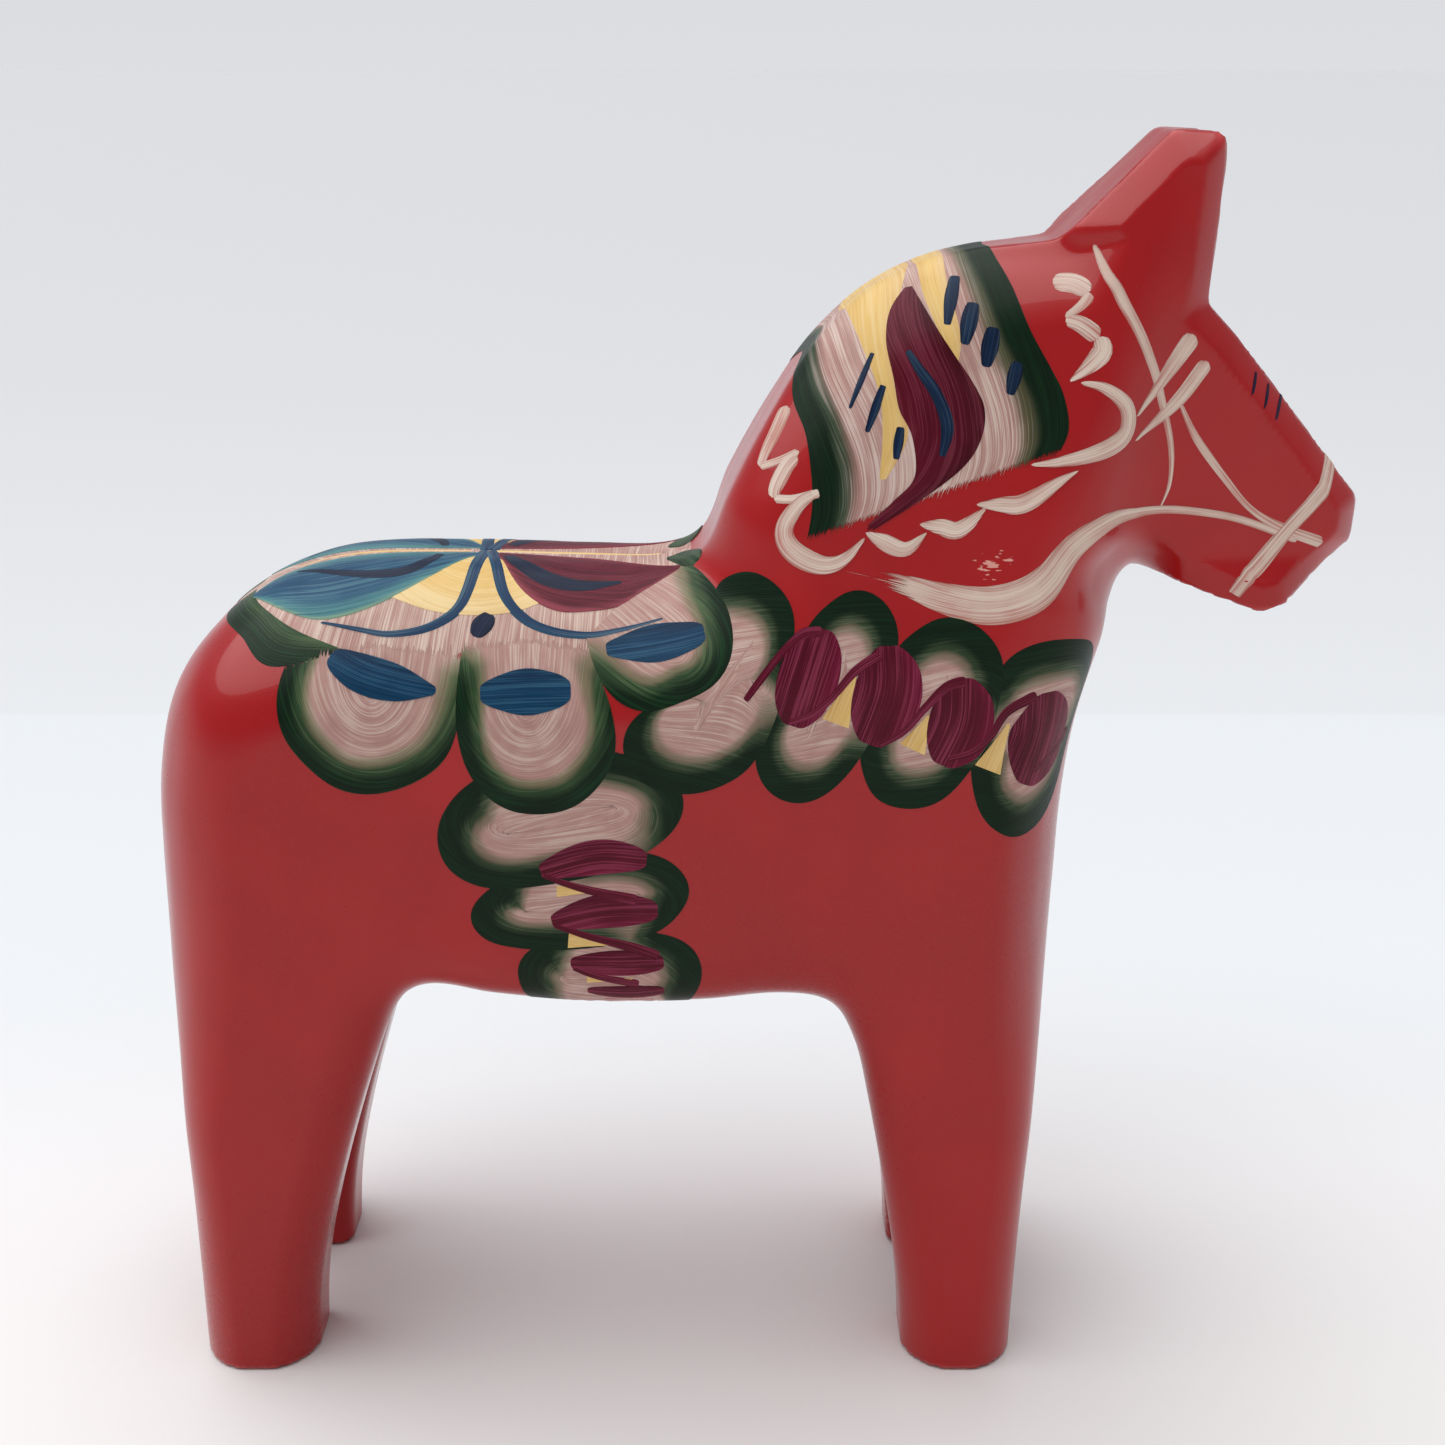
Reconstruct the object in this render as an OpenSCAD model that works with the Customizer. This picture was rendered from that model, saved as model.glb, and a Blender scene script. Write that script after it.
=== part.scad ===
// Carved and painted wooden horse: a pine body, a red base coat and brush-painted harness.
// Millimetres. +X is the way the horse faces, +Y its left side, +Z up.
// The origin is under the middle of the horse, on the surface that it stands on.

/* [Overall size] */
// Length from the rump to the end of the muzzle
horse_length = 238; // [200:1:290]
// Height of the ear tips above the floor
ear_height = 250; // [235:1:300]
// Height of the back above the floor
back_height = 168; // [150:1:185]
// Width across the flanks
body_width = 75; // [60:1:90]

/* [Body] */
// Length from the rump to the chest
body_length = 181; // [160:1:200]
// Height of the belly above the floor
belly_height = 82; // [60:1:95]
// Length of the back in front of the loins, from the withers to the chest
shoulder_length = 71; // [60:1:85]

/* [Neck and head] */
// Width of the head across the ears
head_width = 27; // [20:1:36]
// Width of the muzzle's end
muzzle_width = 19; // [14:1:26]
// Length from the front of the ears to the end of the muzzle
face_length = 32; // [26:1:40]
// Height of the ears above the crest of the neck
ear_rise = 20; // [14:1:26]
// Distance from the throat to the end of the muzzle
jaw_length = 43; // [36:1:50]
// Depth of the notch that parts the two ears, measured down their front
notch_depth = 22; // [10:1:26]

/* [Legs] */
// Length of each sole from front to back
sole_length = 23; // [18:1:30]
// Free width between a left and a right leg at the floor
leg_gap = 24; // [16:1:34]
// Width over both legs at the floor
stance_width = 70; // [56:1:84]
// Length of a leg from front to back where it joins the belly
thigh_length = 45; // [38:1:52]

/* [Paint] */
// Thickness of primer, red paint and lacquer together
coat_thickness = 0.5; // [0.3:0.1:1]
// Thickness of one brush-painted layer
film_thickness = 0.3; // [0.2:0.1:0.6]

/* [Hidden] */

ring_points = 12;                      // points round each section
dot_fn = 10;                           // facets of a brush dab's round end
rump_x = -horse_length / 2;
muzzle_x = horse_length / 2;
chest_x = rump_x + body_length;
withers = [chest_x - shoulder_length, back_height];
ear_x = muzzle_x - face_length;
poll = [ear_x - 27, ear_height - ear_rise];
throat = [muzzle_x - jaw_length, back_height - 4];
half_body = body_width / 2;
half_head = head_width / 2;
half_muzzle = muzzle_width / 2;
reach = 2 * body_width;                // past both flanks, for shapes that cut right through

// Fullness of a section towards its first and its second end: 1 is an ellipse, and lower is closer to a box
full_body = [0.45, 0.77];
full_neck = [0.6, 0.75];
full_head = [0.5, 0.5];
full_leg = [0.5, 0.5];

// --- sections and lofts -------------------------------------------------------

function signed_power(v, p) = sign(v) * pow(abs(v), p);
function bezier(a, b, c, d, t) =
    pow(1 - t, 3) * a + 3 * t * pow(1 - t, 2) * b + 3 * t * t * (1 - t) * c + pow(t, 3) * d;

// A section is [one end, other end, half width, fullness, middle in y]; both ends are [x, z].
// Its ring is a rounded box grown by g all round.
function ring(s, g) = let(
        middle = (s[0] + s[1]) / 2,
        half = norm(s[1] - s[0]) / 2 + g,
        along = (s[1] - s[0]) / norm(s[1] - s[0]),
        wide = s[2] + g)
    [for (i = [0:ring_points - 1]) let(
            turn = 360 * (i + 0.5) / ring_points,
            full = s[3][cos(turn) < 0 ? 0 : 1],
            u = half * signed_power(cos(turn), full),
            v = wide * signed_power(sin(turn), full))
        [middle[0] + along[0] * u, s[4] + v, middle[1] + along[1] * u]];

module points_hull(points) {
    hull() polyhedron(points = points, faces = [[for (i = [0:len(points) - 1]) i]]);
}

// Straight limb: neighbouring sections are parallel, so a chain of hulls joins them
module limb(sections, g) {
    for (i = [0:len(sections) - 2])
        points_hull(concat(ring(sections[i], g), ring(sections[i + 1], g)));
}

// Curved limb: the sections turn, so one skin is drawn through all their rings. Seen from the left side,
// each section's first end lies to the right of the way that the limb runs.
module curved_limb(sections, g) {
    n = ring_points;
    last = len(sections) - 1;
    sides = [for (j = [0:last - 1]) for (i = [0:n - 1]) let(a = j * n + i, b = j * n + (i + 1) % n)
        each [[a, b, b + n], [a, b + n, a + n]]];
    start = [[for (i = [0:n - 1]) n - 1 - i]];
    end = [[for (i = [0:n - 1]) last * n + i]];
    polyhedron(points = [for (s = sections) each ring(s, g)], faces = concat(sides, start, end));
}

// --- the carved shape ---------------------------------------------------------

// Trunk sections stand upright: [x, lowest z, highest z, half width]
module trunk(g) {
    rows = [
        [rump_x - g,        belly_height + 12, back_height - 38, half_body - 21],
        [rump_x + 1 - g,    belly_height + 4,  back_height - 29, half_body - 14],
        [rump_x + 5 - g,    belly_height + 2,  back_height - 19, half_body - 8],
        [rump_x + 13,       belly_height + 1,  back_height - 10, half_body - 3.5],
        [rump_x + 26,       belly_height,      back_height - 3,  half_body - 0.5],
        [rump_x + 43,       belly_height,      back_height,      half_body],
        [withers[0],        belly_height,      back_height,      half_body],
        [withers[0] + 18,   belly_height,      back_height - 2,  half_body],
        [chest_x - 24,      belly_height + 1,  back_height - 10, half_body - 0.5],
        [chest_x - 9,       belly_height + 2,  back_height - 18, half_body - 2.5],
        [chest_x - 2,       belly_height + 4,  back_height - 27, half_body - 7],
        [chest_x + 2 + g,   belly_height + 12, back_height - 38, half_body - 13]
    ];
    limb([for (r = rows) [[r[0], r[1]], [r[0], r[2]], r[3], full_body, 0]], g);
}

// The crest and the front of the neck are two curves, joined by sections that turn with them,
// and the head's sections go on from there, each from the jaw up to the nose line. The first section
// is narrower and lower than the trunk, so that its flat end stays inside the wood
module neck_and_head(g) {
    steps = 5;
    nose = [ear_x, poll[1] - 11];
    jaw = [throat[0] + 15, back_height - 4];
    tip_z = back_height + 10;
    neck_rows = [for (i = [0:steps]) let(t = i / steps) [
        bezier([chest_x - 4, back_height - 55], [chest_x + 1, back_height - 33],
               [chest_x + 8, back_height - 18], throat, t),
        bezier(withers - [0, 1.5], withers + [7, 22], poll + [-45, -1], poll, t),
        half_body - 6 + (half_head + 9 - half_body) * t, full_neck, 0]];
    head_rows = [
        [jaw, nose, half_head + 1.5, full_head, 0],
        [[throat[0] + 26, back_height - 9.5], nose + [8, -8], half_head + 0.5, full_head, 0],
        [[muzzle_x - 13, back_height - 8.5], [muzzle_x - 4.5, tip_z + 10.5], half_muzzle + 2, full_head, 0],
        [[muzzle_x + g, tip_z - 3.5], [muzzle_x + g, tip_z + 3], half_muzzle, full_head, 0]
    ];
    curved_limb(concat(neck_rows, head_rows), g);
}

// One block of wood carries both ears, parted by a notch down its front
module ears(g) {
    top = ear_height + g;
    curved_limb([
        [[ear_x - 6, poll[1] - 16], [poll[0] + 4, poll[1] - 16], half_head - 1, full_head, 0],
        [[ear_x, poll[1] - 2], poll + [-2.5, -2], half_head + 0.5, full_head, 0],
        [[ear_x, top], [ear_x - 5, top], half_head - 0.5, full_head, 0]
    ], g);
}

// The notch runs down and forward, deepest at the front of the ears
module ear_notch(g) {
    back = [ear_x - 5, ear_height + 2 + g];
    front = [ear_x + 3 + g, ear_height - notch_depth + g];
    half = half_head * 0.45 - g;
    points_hull([
        [back[0], 0, back[1]],
        [front[0], 0, front[1]],
        for (side = [-1, 1]) each [
            [front[0] + 1, side * half, back[1]],
            [back[0] + 2, side * half, back[1]],
            [front[0] + 3, side * half, front[1] + 4]
        ]
    ]);
}

// Leg sections lie flat. Each edge is [x at the floor, x at the belly], and it curves outwards as it rises.
// Rows are [share of the belly's height, inset of the front and rear edges, of the inner side, of the outer side].
module leg(rear_edge, front_edge, side, g) {
    inner = leg_gap / 2;
    outer = stance_width / 2;
    rows = [
        [0,    1.2, 1.5,          1],
        [0.05, 0,   0,            0],
        [0.5,  0,   0,            (outer - half_body) * 0.5],
        [0.78, 0,   -2,           outer - half_body + 0.4],
        [1,    1.5, -7,           outer - half_body + 0.4],
        [1.4,  6,   -inner + 0.5, outer - half_body + 4]
    ];
    limb([for (r = rows) let(
            z = belly_height * r[0],
            rise = min(1, r[0] * r[0]),
            near = inner + r[2],
            far = outer - r[3])
        [[rear_edge[0] + (rear_edge[1] - rear_edge[0]) * rise + r[1], z],
         [front_edge[0] + (front_edge[1] - front_edge[0]) * rise - r[1], z],
         (far - near) / 2, full_leg, side * (far + near) / 2]], g);
}

module legs(g) {
    hind = rump_x + 3;
    fore = chest_x - 4;
    for (side = [-1, 1]) {
        leg([hind, hind + 1], [hind + sole_length + 3, hind + thigh_length], side, g);
        leg([fore - sole_length - 2, fore - thigh_length + 2], [fore, fore + 3], side, g);
    }
}

// The whole horse, grown by g all round but always flat on the floor
module horse(g) {
    intersection() {
        difference() {
            union() {
                trunk(g);
                neck_and_head(g);
                ears(g);
                legs(g);
            }
            ear_notch(g);
        }
        translate([-horse_length, -reach, 0]) cube([2 * horse_length, 2 * reach, 2 * ear_height]);
    }
}

module carved_body() color("burlywood") horse(0);

module red_coat() color("firebrick") difference() {
    horse(coat_thickness);
    horse(0);
}

// --- brushwork ----------------------------------------------------------------

// Outline drawn on the side view, [x, z], and carried right through the horse
module from_side() {
    translate([0, reach, 0]) rotate([90, 0, 0]) linear_extrude(2 * reach) children();
}

// Outline drawn on the top view, [x, y], repeated on both sides, above the shoulders
module from_above() {
    for (side = [0, 1]) mirror([0, side, 0])
        translate([0, 0, back_height - 30]) linear_extrude(40) children();
}

module dot(at, r) { translate(at) circle(r, $fn = dot_fn); }

// A stroke is a chain of [x, z, radius]
module stroke(points) {
    for (i = [0:len(points) - 2]) hull() {
        dot([points[i][0], points[i][1]], points[i][2]);
        dot([points[i + 1][0], points[i + 1][1]], points[i + 1][2]);
    }
}

// A leaf-shaped dab from one point to another
module dab(a, b, r) { stroke([[a[0], a[1], r * 0.4], [(a[0] + b[0]) / 2, (a[1] + b[1]) / 2, r], [b[0], b[1], r * 0.4]]); }

// One painted layer lies on the red coat, wherever the shapes given to it meet the surface
module film() {
    intersection() {
        difference() {
            horse(coat_thickness + film_thickness);
            horse(coat_thickness);
        }
        children();
    }
}

// Saddle cloth, placed from the middle of the back
saddle = [withers[0] - 42, back_height];

module petal_rear_cut() from_above() translate([saddle[0], 0])
    polygon([[-1, -2.5], [-20, -3], [-36, -4], [-46, -8], [-49, -14], [-44, -20], [-35, -25], [-25, -26], [-15, -22], [-6, -12]]);
module petal_front_cut() from_above() translate([saddle[0], 0])
    polygon([[0.5, -2.5], [16, -3], [28, -6], [38, -13], [35, -18], [25, -23], [16, -25], [7, -22], [2, -15]]);
module petal_hearts_cut() from_above() translate([saddle[0], 0]) {
    stroke([[-37, -10, 1], [-26, -16, 2], [-16, -14, 2], [-11, -7, 0.8]]);
    stroke([[5, -6, 1], [12, -14, 2], [20, -17, 2], [27, -17, 0.8]]);
}
module fan_cut() from_above() translate([saddle[0], 0])
    polygon([[-6, -3], [-20, -18], [-18, -24], [-10, -29], [0, -30.5], [10, -29.5], [16, -24], [22, -18], [6, -3]]);
module lines_cut() from_side() translate(saddle) {
    stroke([[-1, 1, 1], [-1, -3, 1], [-5, -6.5, 1], [-14, -8.5, 1], [-26, -7.5, 0.5]]);
    stroke([[0, 1, 1], [3, -3, 1], [9, -6.5, 1], [20, -8.5, 1], [33, -7, 0.5]]);
    dab([0.5, -7.5], [3, -10.5], 1.6);
}
module ground_cut() from_side() translate(saddle)
    polygon([[-52, -8], [-37, -13], [2, -14], [22, -11], [41, -11], [41, 8], [-52, 8]]);
module lobe_rear_cut() from_side() translate(saddle) hull() { dot([-21, -23], 15); dot([-17, -23], 15); }
module lobe_middle_cut() from_side() translate(saddle) hull() { dot([11, -26], 15.5); dot([10, -17], 11); }
module lobe_front_cut() from_side() translate(saddle) hull() { dot([33, -11], 9.5); dot([39, -9], 9); }
module dabs_cut() from_side() translate(saddle) {
    dab([-26, -13.5], [-9, -17.5], 3.5);
    dab([3, -18], [17, -18], 3.5);
    dab([25, -11], [43, -7.5], 3.2);
}

module saddle_dabs() color("steelblue") film() dabs_cut();
module saddle_lines() color("midnightblue") film() difference() { lines_cut(); dabs_cut(); }
module saddle_petal_hearts() color("midnightblue") film() petal_hearts_cut();
module saddle_petal_rear() color("teal") film() difference() { petal_rear_cut(); petal_hearts_cut(); lines_cut(); }
module saddle_petal_front() color("brown") film() difference() { petal_front_cut(); petal_hearts_cut(); lines_cut(); }
module saddle_fan() color("khaki") film() difference() { fan_cut(); petal_rear_cut(); petal_front_cut(); lines_cut(); }
module saddle_ground() color("mistyrose") film() difference() {
    ground_cut();
    petal_rear_cut(); petal_front_cut(); fan_cut(); lines_cut(); dabs_cut();
    lobe_rear_cut(); lobe_middle_cut(); lobe_front_cut(); collar_cut(0);
}
module saddle_lobe_rear() color("darkgreen") film() difference() {
    lobe_rear_cut();
    petal_rear_cut(); fan_cut(); lines_cut(); dabs_cut();
}
module saddle_lobe_middle() color("darkgreen") film() difference() {
    lobe_middle_cut();
    lobe_rear_cut(); petal_rear_cut(); petal_front_cut(); fan_cut(); lines_cut(); dabs_cut();
}
module saddle_lobe_front() color("darkgreen") film() difference() {
    lobe_front_cut();
    lobe_middle_cut(); petal_front_cut(); lines_cut(); dabs_cut();
}
module withers_patch() color("darkgreen") film() difference() {
    from_above() translate([withers[0], 0]) hull() { dot([2, 9], 2.5); dot([2.5, 17], 3.5); }
    lobe_front_cut(); petal_front_cut(); ground_cut(); collar_cut(0);
}

// Breast collar: four loops from the saddle to the chest, each tucked under the one before it
collar = [withers[0], back_height - 20];
collar_loops = [
    [[-1, -4, 13], [9, 12, 9]],
    [[20, -9, 11], [29, 12, 9]],
    [[41, -11, 10.5], [50, 6, 9]],
    [[60, -15, 10], [68, 2, 9]]
];
module collar_cut(i) from_side() translate(collar) stroke(collar_loops[i]);
module collar_marks_cut() { collar_scroll_cut(); collar_wedges_cut(); }
module collar_scroll_cut() from_side() translate(collar) {
    stroke([[10, 2, 0.8], [18, 10, 1.8], [23, 12, 1.8]]);
    for (p = [[19, 5], [37, 1], [51, -2], [65, -7]])
        stroke([[p[0] + 2.5, p[1] + 4, 4.5], [p[0] - 1.5, p[1] - 5, 4.5]]);
    stroke([[23, 0, 1.2], [30, 8, 1.2]]);
    stroke([[41, -3, 1.2], [46, 5, 1.2]]);
    stroke([[55, -6, 1.2], [60, 0, 1.2]]);
}
module collar_wedges_cut() from_side() translate(collar)
    for (p = [[28.5, -1], [43.5, -6], [57, -10]]) dab(p + [-1, -5], p + [1, 4], 1.6);

module collar_scroll() color("maroon") film() difference() { collar_scroll_cut(); collar_wedges_cut(); }
module collar_wedges() color("khaki") film() collar_wedges_cut();
module collar_loop(i) color("darkgreen") film() difference() {
    collar_cut(i);
    collar_marks_cut();
    lobe_front_cut(); lobe_middle_cut(); dabs_cut(); petal_front_cut();
    if (i > 0) collar_cut(i - 1);
}
module collar_loop_1() { collar_loop(0); }
module collar_loop_2() { collar_loop(1); }
module collar_loop_3() { collar_loop(2); }
module collar_loop_4() { collar_loop(3); }

// Girth: three loops from the saddle down to the belly, which meet those of the other flank underneath
girth = [saddle[0] + 16, belly_height];
girth_loops = [
    [[-11, 38, 12], [14, 43, 10]],
    [[-8, 24, 9], [16, 27, 8.5]],
    [[2, 5, 9], [18, 7, 9]]
];
module girth_cut(i) from_side() translate(girth) stroke(girth_loops[i]);
module girth_scroll_cut() from_side() translate(girth)
    for (p = [[7, 34], [9, 22], [13, 11]]) stroke([[p[0] - 7, p[1] - 1, 2.5], [p[0], p[1], 3.6], [p[0] + 8, p[1] + 1, 2.5]]);
module girth_wedges_cut() from_side() translate(girth)
    for (p = [[1, 28], [5, 16.5]]) dab(p + [-2.5, 0.5], p + [3, -0.5], 1.6);

module girth_scroll() color("maroon") film() girth_scroll_cut();
module girth_wedges() color("khaki") film() difference() { girth_wedges_cut(); girth_scroll_cut(); }
module girth_loop(i) color("darkgreen") film() difference() {
    girth_cut(i);
    girth_scroll_cut(); girth_wedges_cut(); lobe_middle_cut(); lobe_rear_cut(); collar_cut(0);
    if (i > 0) girth_cut(i - 1);
}
module girth_loop_top() { girth_loop(0); }
module girth_loop_middle() { girth_loop(1); }
module girth_loop_bottom() { girth_loop(2); }

// Mane band, placed from the middle of the neck
mane = [withers[0] + 41, poll[1] - 28];
module mane_band_cut() from_side() translate(mane)
    polygon([[-16, 26], [-23, 6], [-19, -10], [-20, -25], [-8, -23], [8, -17], [21, -11], [28, -4], [27, 2], [19, 16], [14, 32]]);
module mane_stripes_cut() from_side() translate(mane) {
    polygon([[-12, 20], [-2, 30], [-5, 4], [-6, -15], [-8, -15], [-9, 4]]);
    polygon([[-1, 30], [7, 30], [8, 10], [3, 15]]);
}
module mane_drop_cut() from_side() translate(mane)
    polygon([[-2, 19], [-5, 14], [-5, 8], [-3, 3], [-2, -4], [-3, -11], [-10, -22], [-4, -20], [3, -16], [9, -12], [12, -7], [12, -1],
             [9, 5], [6, 10], [2, 13], [0, 18]]);
module mane_drop_heart_cut() from_side() translate(mane)
    stroke([[-3, 10, 0.8], [1, 6, 1.6], [4, 0, 1.8], [5, -6, 1.4], [4, -11, 0.7]]);
module mane_dabs_cut() from_side() translate(mane) {
    for (d = [[6, 21, 4, 14], [10, 17, 8, 10], [13, 14, 12, 7], [18, 8, 17, 2]]) dab([d[0], d[1]], [d[2], d[3]], 1.5);
    for (d = [[-8, 10, -12, 0], [-7, 4, -10, -4], [-3.5, -3, -4.5, -9]]) dab([d[0], d[1]], [d[2], d[3]], 1.1);
}
module zigzag_cut() from_side() translate(mane)
    stroke([[-24, -2, 1.2], [-28, -12, 1.5], [-21, -9, 1.3], [-27, -16, 1.5], [-18, -15, 1.3], [-25, -20, 1.2], [-25, -25, 1.4],
            [-21, -29, 1.6], [-16, -30, 1.4], [-10, -24, 0.8]]);
module leaves_cut() from_side() translate(mane) {
    stroke([[-9, -24, 1], [-5, -27, 1.5], [1, -25, 0.7]]);
    stroke([[1, -22, 1], [6, -24, 1.5], [12, -19, 0.7]]);
    stroke([[11, -18, 1], [17, -20, 1.5], [27, -14, 0.7]]);
}

module mane_zigzag() color("seashell") film() difference() { zigzag_cut(); mane_band_cut(); leaves_cut(); }
module mane_leaves() color("seashell") film() leaves_cut();
module mane_dabs() color("midnightblue") film() difference() { mane_dabs_cut(); mane_drop_cut(); }
module mane_drop_heart() color("midnightblue") film() mane_drop_heart_cut();
module mane_drop() color("maroon") film() difference() { mane_drop_cut(); mane_drop_heart_cut(); leaves_cut(); }
module mane_stripes() color("khaki") film() difference() { mane_stripes_cut(); mane_drop_cut(); mane_dabs_cut(); leaves_cut(); }
module mane_band() color("darkgreen") film() difference() {
    mane_band_cut();
    mane_stripes_cut(); mane_drop_cut(); mane_dabs_cut(); leaves_cut();
}

// Forelock and bridle, placed from the root of the ears
brow = [ear_x, poll[1] - 11];
module forelock_scroll_cut() from_side() translate(brow)
    stroke([[-29, 5, 1.5], [-24, 3.5, 2], [-23, 1.5, 2], [-28, -1, 1.3], [-22, -4, 2], [-20, -7, 1.8], [-24, -10, 1.5], [-27, -13, 0.8]]);
module forelock_curl_cut() from_side() translate(brow)
    stroke([[-25, -13, 0.8], [-19, -16, 1.6], [-17, -21, 1.9], [-21, -26, 1.6], [-27, -28, 1.2], [-33, -28, 0.7]]);
module poll_strand_cut() from_side() translate(brow)
    stroke([[-22, 11, 1.2], [-18, 3, 1.2], [-11, -11, 1.3], [-8, -19, 1], [-6, -29, 0.8], [-7, -38, 0.6]]);
module brow_dabs_cut() from_side() translate(brow) {
    stroke([[-4, -6, 1.8], [-9, -13, 1.4], [-15, -19, 0.6]]);
    stroke([[-2, -11, 1.8], [-9, -18, 1.4], [-16, -24, 0.6]]);
}
module cheek_strap_cut() from_side() translate(brow)
    stroke([[-6, -18, 0.7], [-1, -27, 0.8], [7, -35, 0.8], [14, -40, 0.8], [17, -41, 0.7], [26, -45, 0.8]]);
module throat_feather_cut() from_side() translate(brow)
    stroke([[25, -45, 0.6], [11, -42, 0.6], [0, -40, 0.7], [-10, -39, 0.8], [-19, -39, 1], [-24, -40, 1.6], [-28, -46, 2.2],
            [-34, -49, 3], [-39, -52, 3.4], [-50, -51, 2], [-68, -48, 0.7]]);
module noseband_cut() from_side() translate(brow)
    stroke([[24, -24, 1.3], [26, -35, 1.3], [17, -39, 1.3], [10, -44, 1.3], [7, -48, 1.4], [2, -58, 1.4]]);
module nose_marks_cut() from_side() translate(brow)
    for (p = [[9.5, -14], [12, -17], [14.5, -20]]) dab(p + [1, 2.5], p - [1, 2.5], 0.6);

module forelock_scroll() color("seashell") film() forelock_scroll_cut();
module forelock_curl() color("seashell") film() difference() { forelock_curl_cut(); mane_band_cut(); forelock_scroll_cut(); }
module brow_dabs() color("seashell") film() brow_dabs_cut();
module poll_strand() color("seashell") film() difference() { poll_strand_cut(); brow_dabs_cut(); }
module noseband() color("seashell") film() noseband_cut();
module cheek_strap() color("seashell") film() difference() { cheek_strap_cut(); poll_strand_cut(); brow_dabs_cut(); noseband_cut(); }
module throat_feather() color("seashell") film() difference() {
    throat_feather_cut();
    cheek_strap_cut(); noseband_cut(); poll_strand_cut();
}
module nose_marks() color("midnightblue") film() nose_marks_cut();

carved_body();
red_coat();
saddle_ground();
saddle_fan();
saddle_petal_rear();
saddle_petal_front();
saddle_petal_hearts();
saddle_lines();
saddle_lobe_rear();
saddle_lobe_middle();
saddle_lobe_front();
saddle_dabs();
withers_patch();
collar_loop_1();
collar_loop_2();
collar_loop_3();
collar_loop_4();
collar_scroll();
collar_wedges();
girth_loop_top();
girth_loop_middle();
girth_loop_bottom();
girth_scroll();
girth_wedges();
mane_band();
mane_stripes();
mane_drop();
mane_drop_heart();
mane_dabs();
mane_zigzag();
mane_leaves();
forelock_scroll();
forelock_curl();
poll_strand();
brow_dabs();
cheek_strap();
throat_feather();
noseband();
nose_marks();
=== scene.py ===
import bpy
import numpy as np
from bpy.props import FloatProperty, FloatVectorProperty, PointerProperty
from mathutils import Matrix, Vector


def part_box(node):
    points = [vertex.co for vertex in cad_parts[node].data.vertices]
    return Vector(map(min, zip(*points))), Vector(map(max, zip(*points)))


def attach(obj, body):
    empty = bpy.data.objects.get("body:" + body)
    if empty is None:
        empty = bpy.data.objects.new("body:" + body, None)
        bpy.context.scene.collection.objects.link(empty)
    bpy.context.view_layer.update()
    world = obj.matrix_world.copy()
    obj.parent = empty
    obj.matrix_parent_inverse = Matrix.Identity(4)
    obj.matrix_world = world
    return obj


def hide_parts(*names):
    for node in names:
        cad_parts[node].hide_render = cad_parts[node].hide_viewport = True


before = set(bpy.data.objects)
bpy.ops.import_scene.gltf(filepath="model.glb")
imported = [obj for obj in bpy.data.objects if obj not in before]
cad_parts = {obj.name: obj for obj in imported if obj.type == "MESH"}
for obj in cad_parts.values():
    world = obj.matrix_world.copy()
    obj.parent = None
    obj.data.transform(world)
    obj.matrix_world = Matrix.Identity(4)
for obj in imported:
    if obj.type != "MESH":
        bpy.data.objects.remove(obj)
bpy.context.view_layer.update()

bl_info = {
    "name": "Painted Wooden Horse",
    "version": (1, 0, 0),
    "blender": (4, 5, 0),
    "location": "View3D > Sidebar > Horse",
    "description": "A carved pine horse with a red lacquer coat and brush-painted harness",
    "category": "Add Mesh",
}

MM = 0.001

# The drawing is in millimetres: x forward, y to the left flank, z up from the floor. Its zero in x and y is
# the middle of the frame's coat.
COAT_LOW, COAT_HIGH = (np.array(corner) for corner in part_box("red_coat"))
COAT_MIDDLE = np.array([COAT_LOW[0] + COAT_HIGH[0], COAT_LOW[1] + COAT_HIGH[1], 0]) / 2


def to_frame(points):
    """Drawing millimetres to frame metres, with the drawing's middle on the frame's coat."""
    return points * MM + COAT_MIDDLE


# --- the carved shape ------------------------------------------------------------------------------

# Side outline, [x, z, sharp corner], from the rump over the back, neck, ears and muzzle to the chest,
# legs and belly. The legs run on below the floor, where the solid is cut flat.
OUTLINE = np.array([
    (-117.6, 112, 0), (-116.6, 130, 0), (-112.6, 145, 0), (-104.4, 156, 0), (-92.6, 164, 0), (-78, 168, 0),
    (-55, 168.6, 0), (-30, 168, 0), (-15, 168.2, 0), (-8, 171.5, 0), (-3, 183, 0), (5, 198, 0),
    (14, 211.5, 0), (25, 221.5, 0), (38, 227.3, 0), (58.8, 230.3, 1), (79.4, 250.4, 1), (89.8, 249.8, 1),
    (87.4, 219, 1), (95, 211, 0), (114.6, 188, 1), (120.8, 181, 1), (120.3, 172.4, 1),
    (105.4, 160.9, 1), (100.2, 160.3, 1), (90, 163.8, 0), (82.5, 166.3, 0), (76.4, 166, 0),
    (73, 159, 0), (67.2, 141, 0), (64.7, 125, 0), (63.6, 106, 0), (62, 85, 0), (60, 60, 0),
    (58.5, 35, 0), (57.5, 6, 0), (57, -30, 1), (34.5, -30, 1), (33.8, 8, 0), (30.5, 34, 0),
    (25.5, 62, 0), (22.5, 74, 0), (17.5, 82, 0), (8, 84, 0), (-8, 82.6, 0), (-30, 82.3, 0),
    (-50, 84, 0), (-62, 86, 0), (-68, 83.5, 0), (-72.5, 75, 0), (-82, 46, 0), (-88, 22, 0),
    (-90, 6, 0), (-91, -30, 1), (-114.5, -30, 1), (-114.3, 6, 0), (-114.3, 40, 0), (-115, 65, 0),
                    (-116.8, 90, 0),
])
MAP_STEP = 0.75                       # spacing of the map of distances to the outline
MAP_X = np.arange(-130, 130, MAP_STEP)
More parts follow.
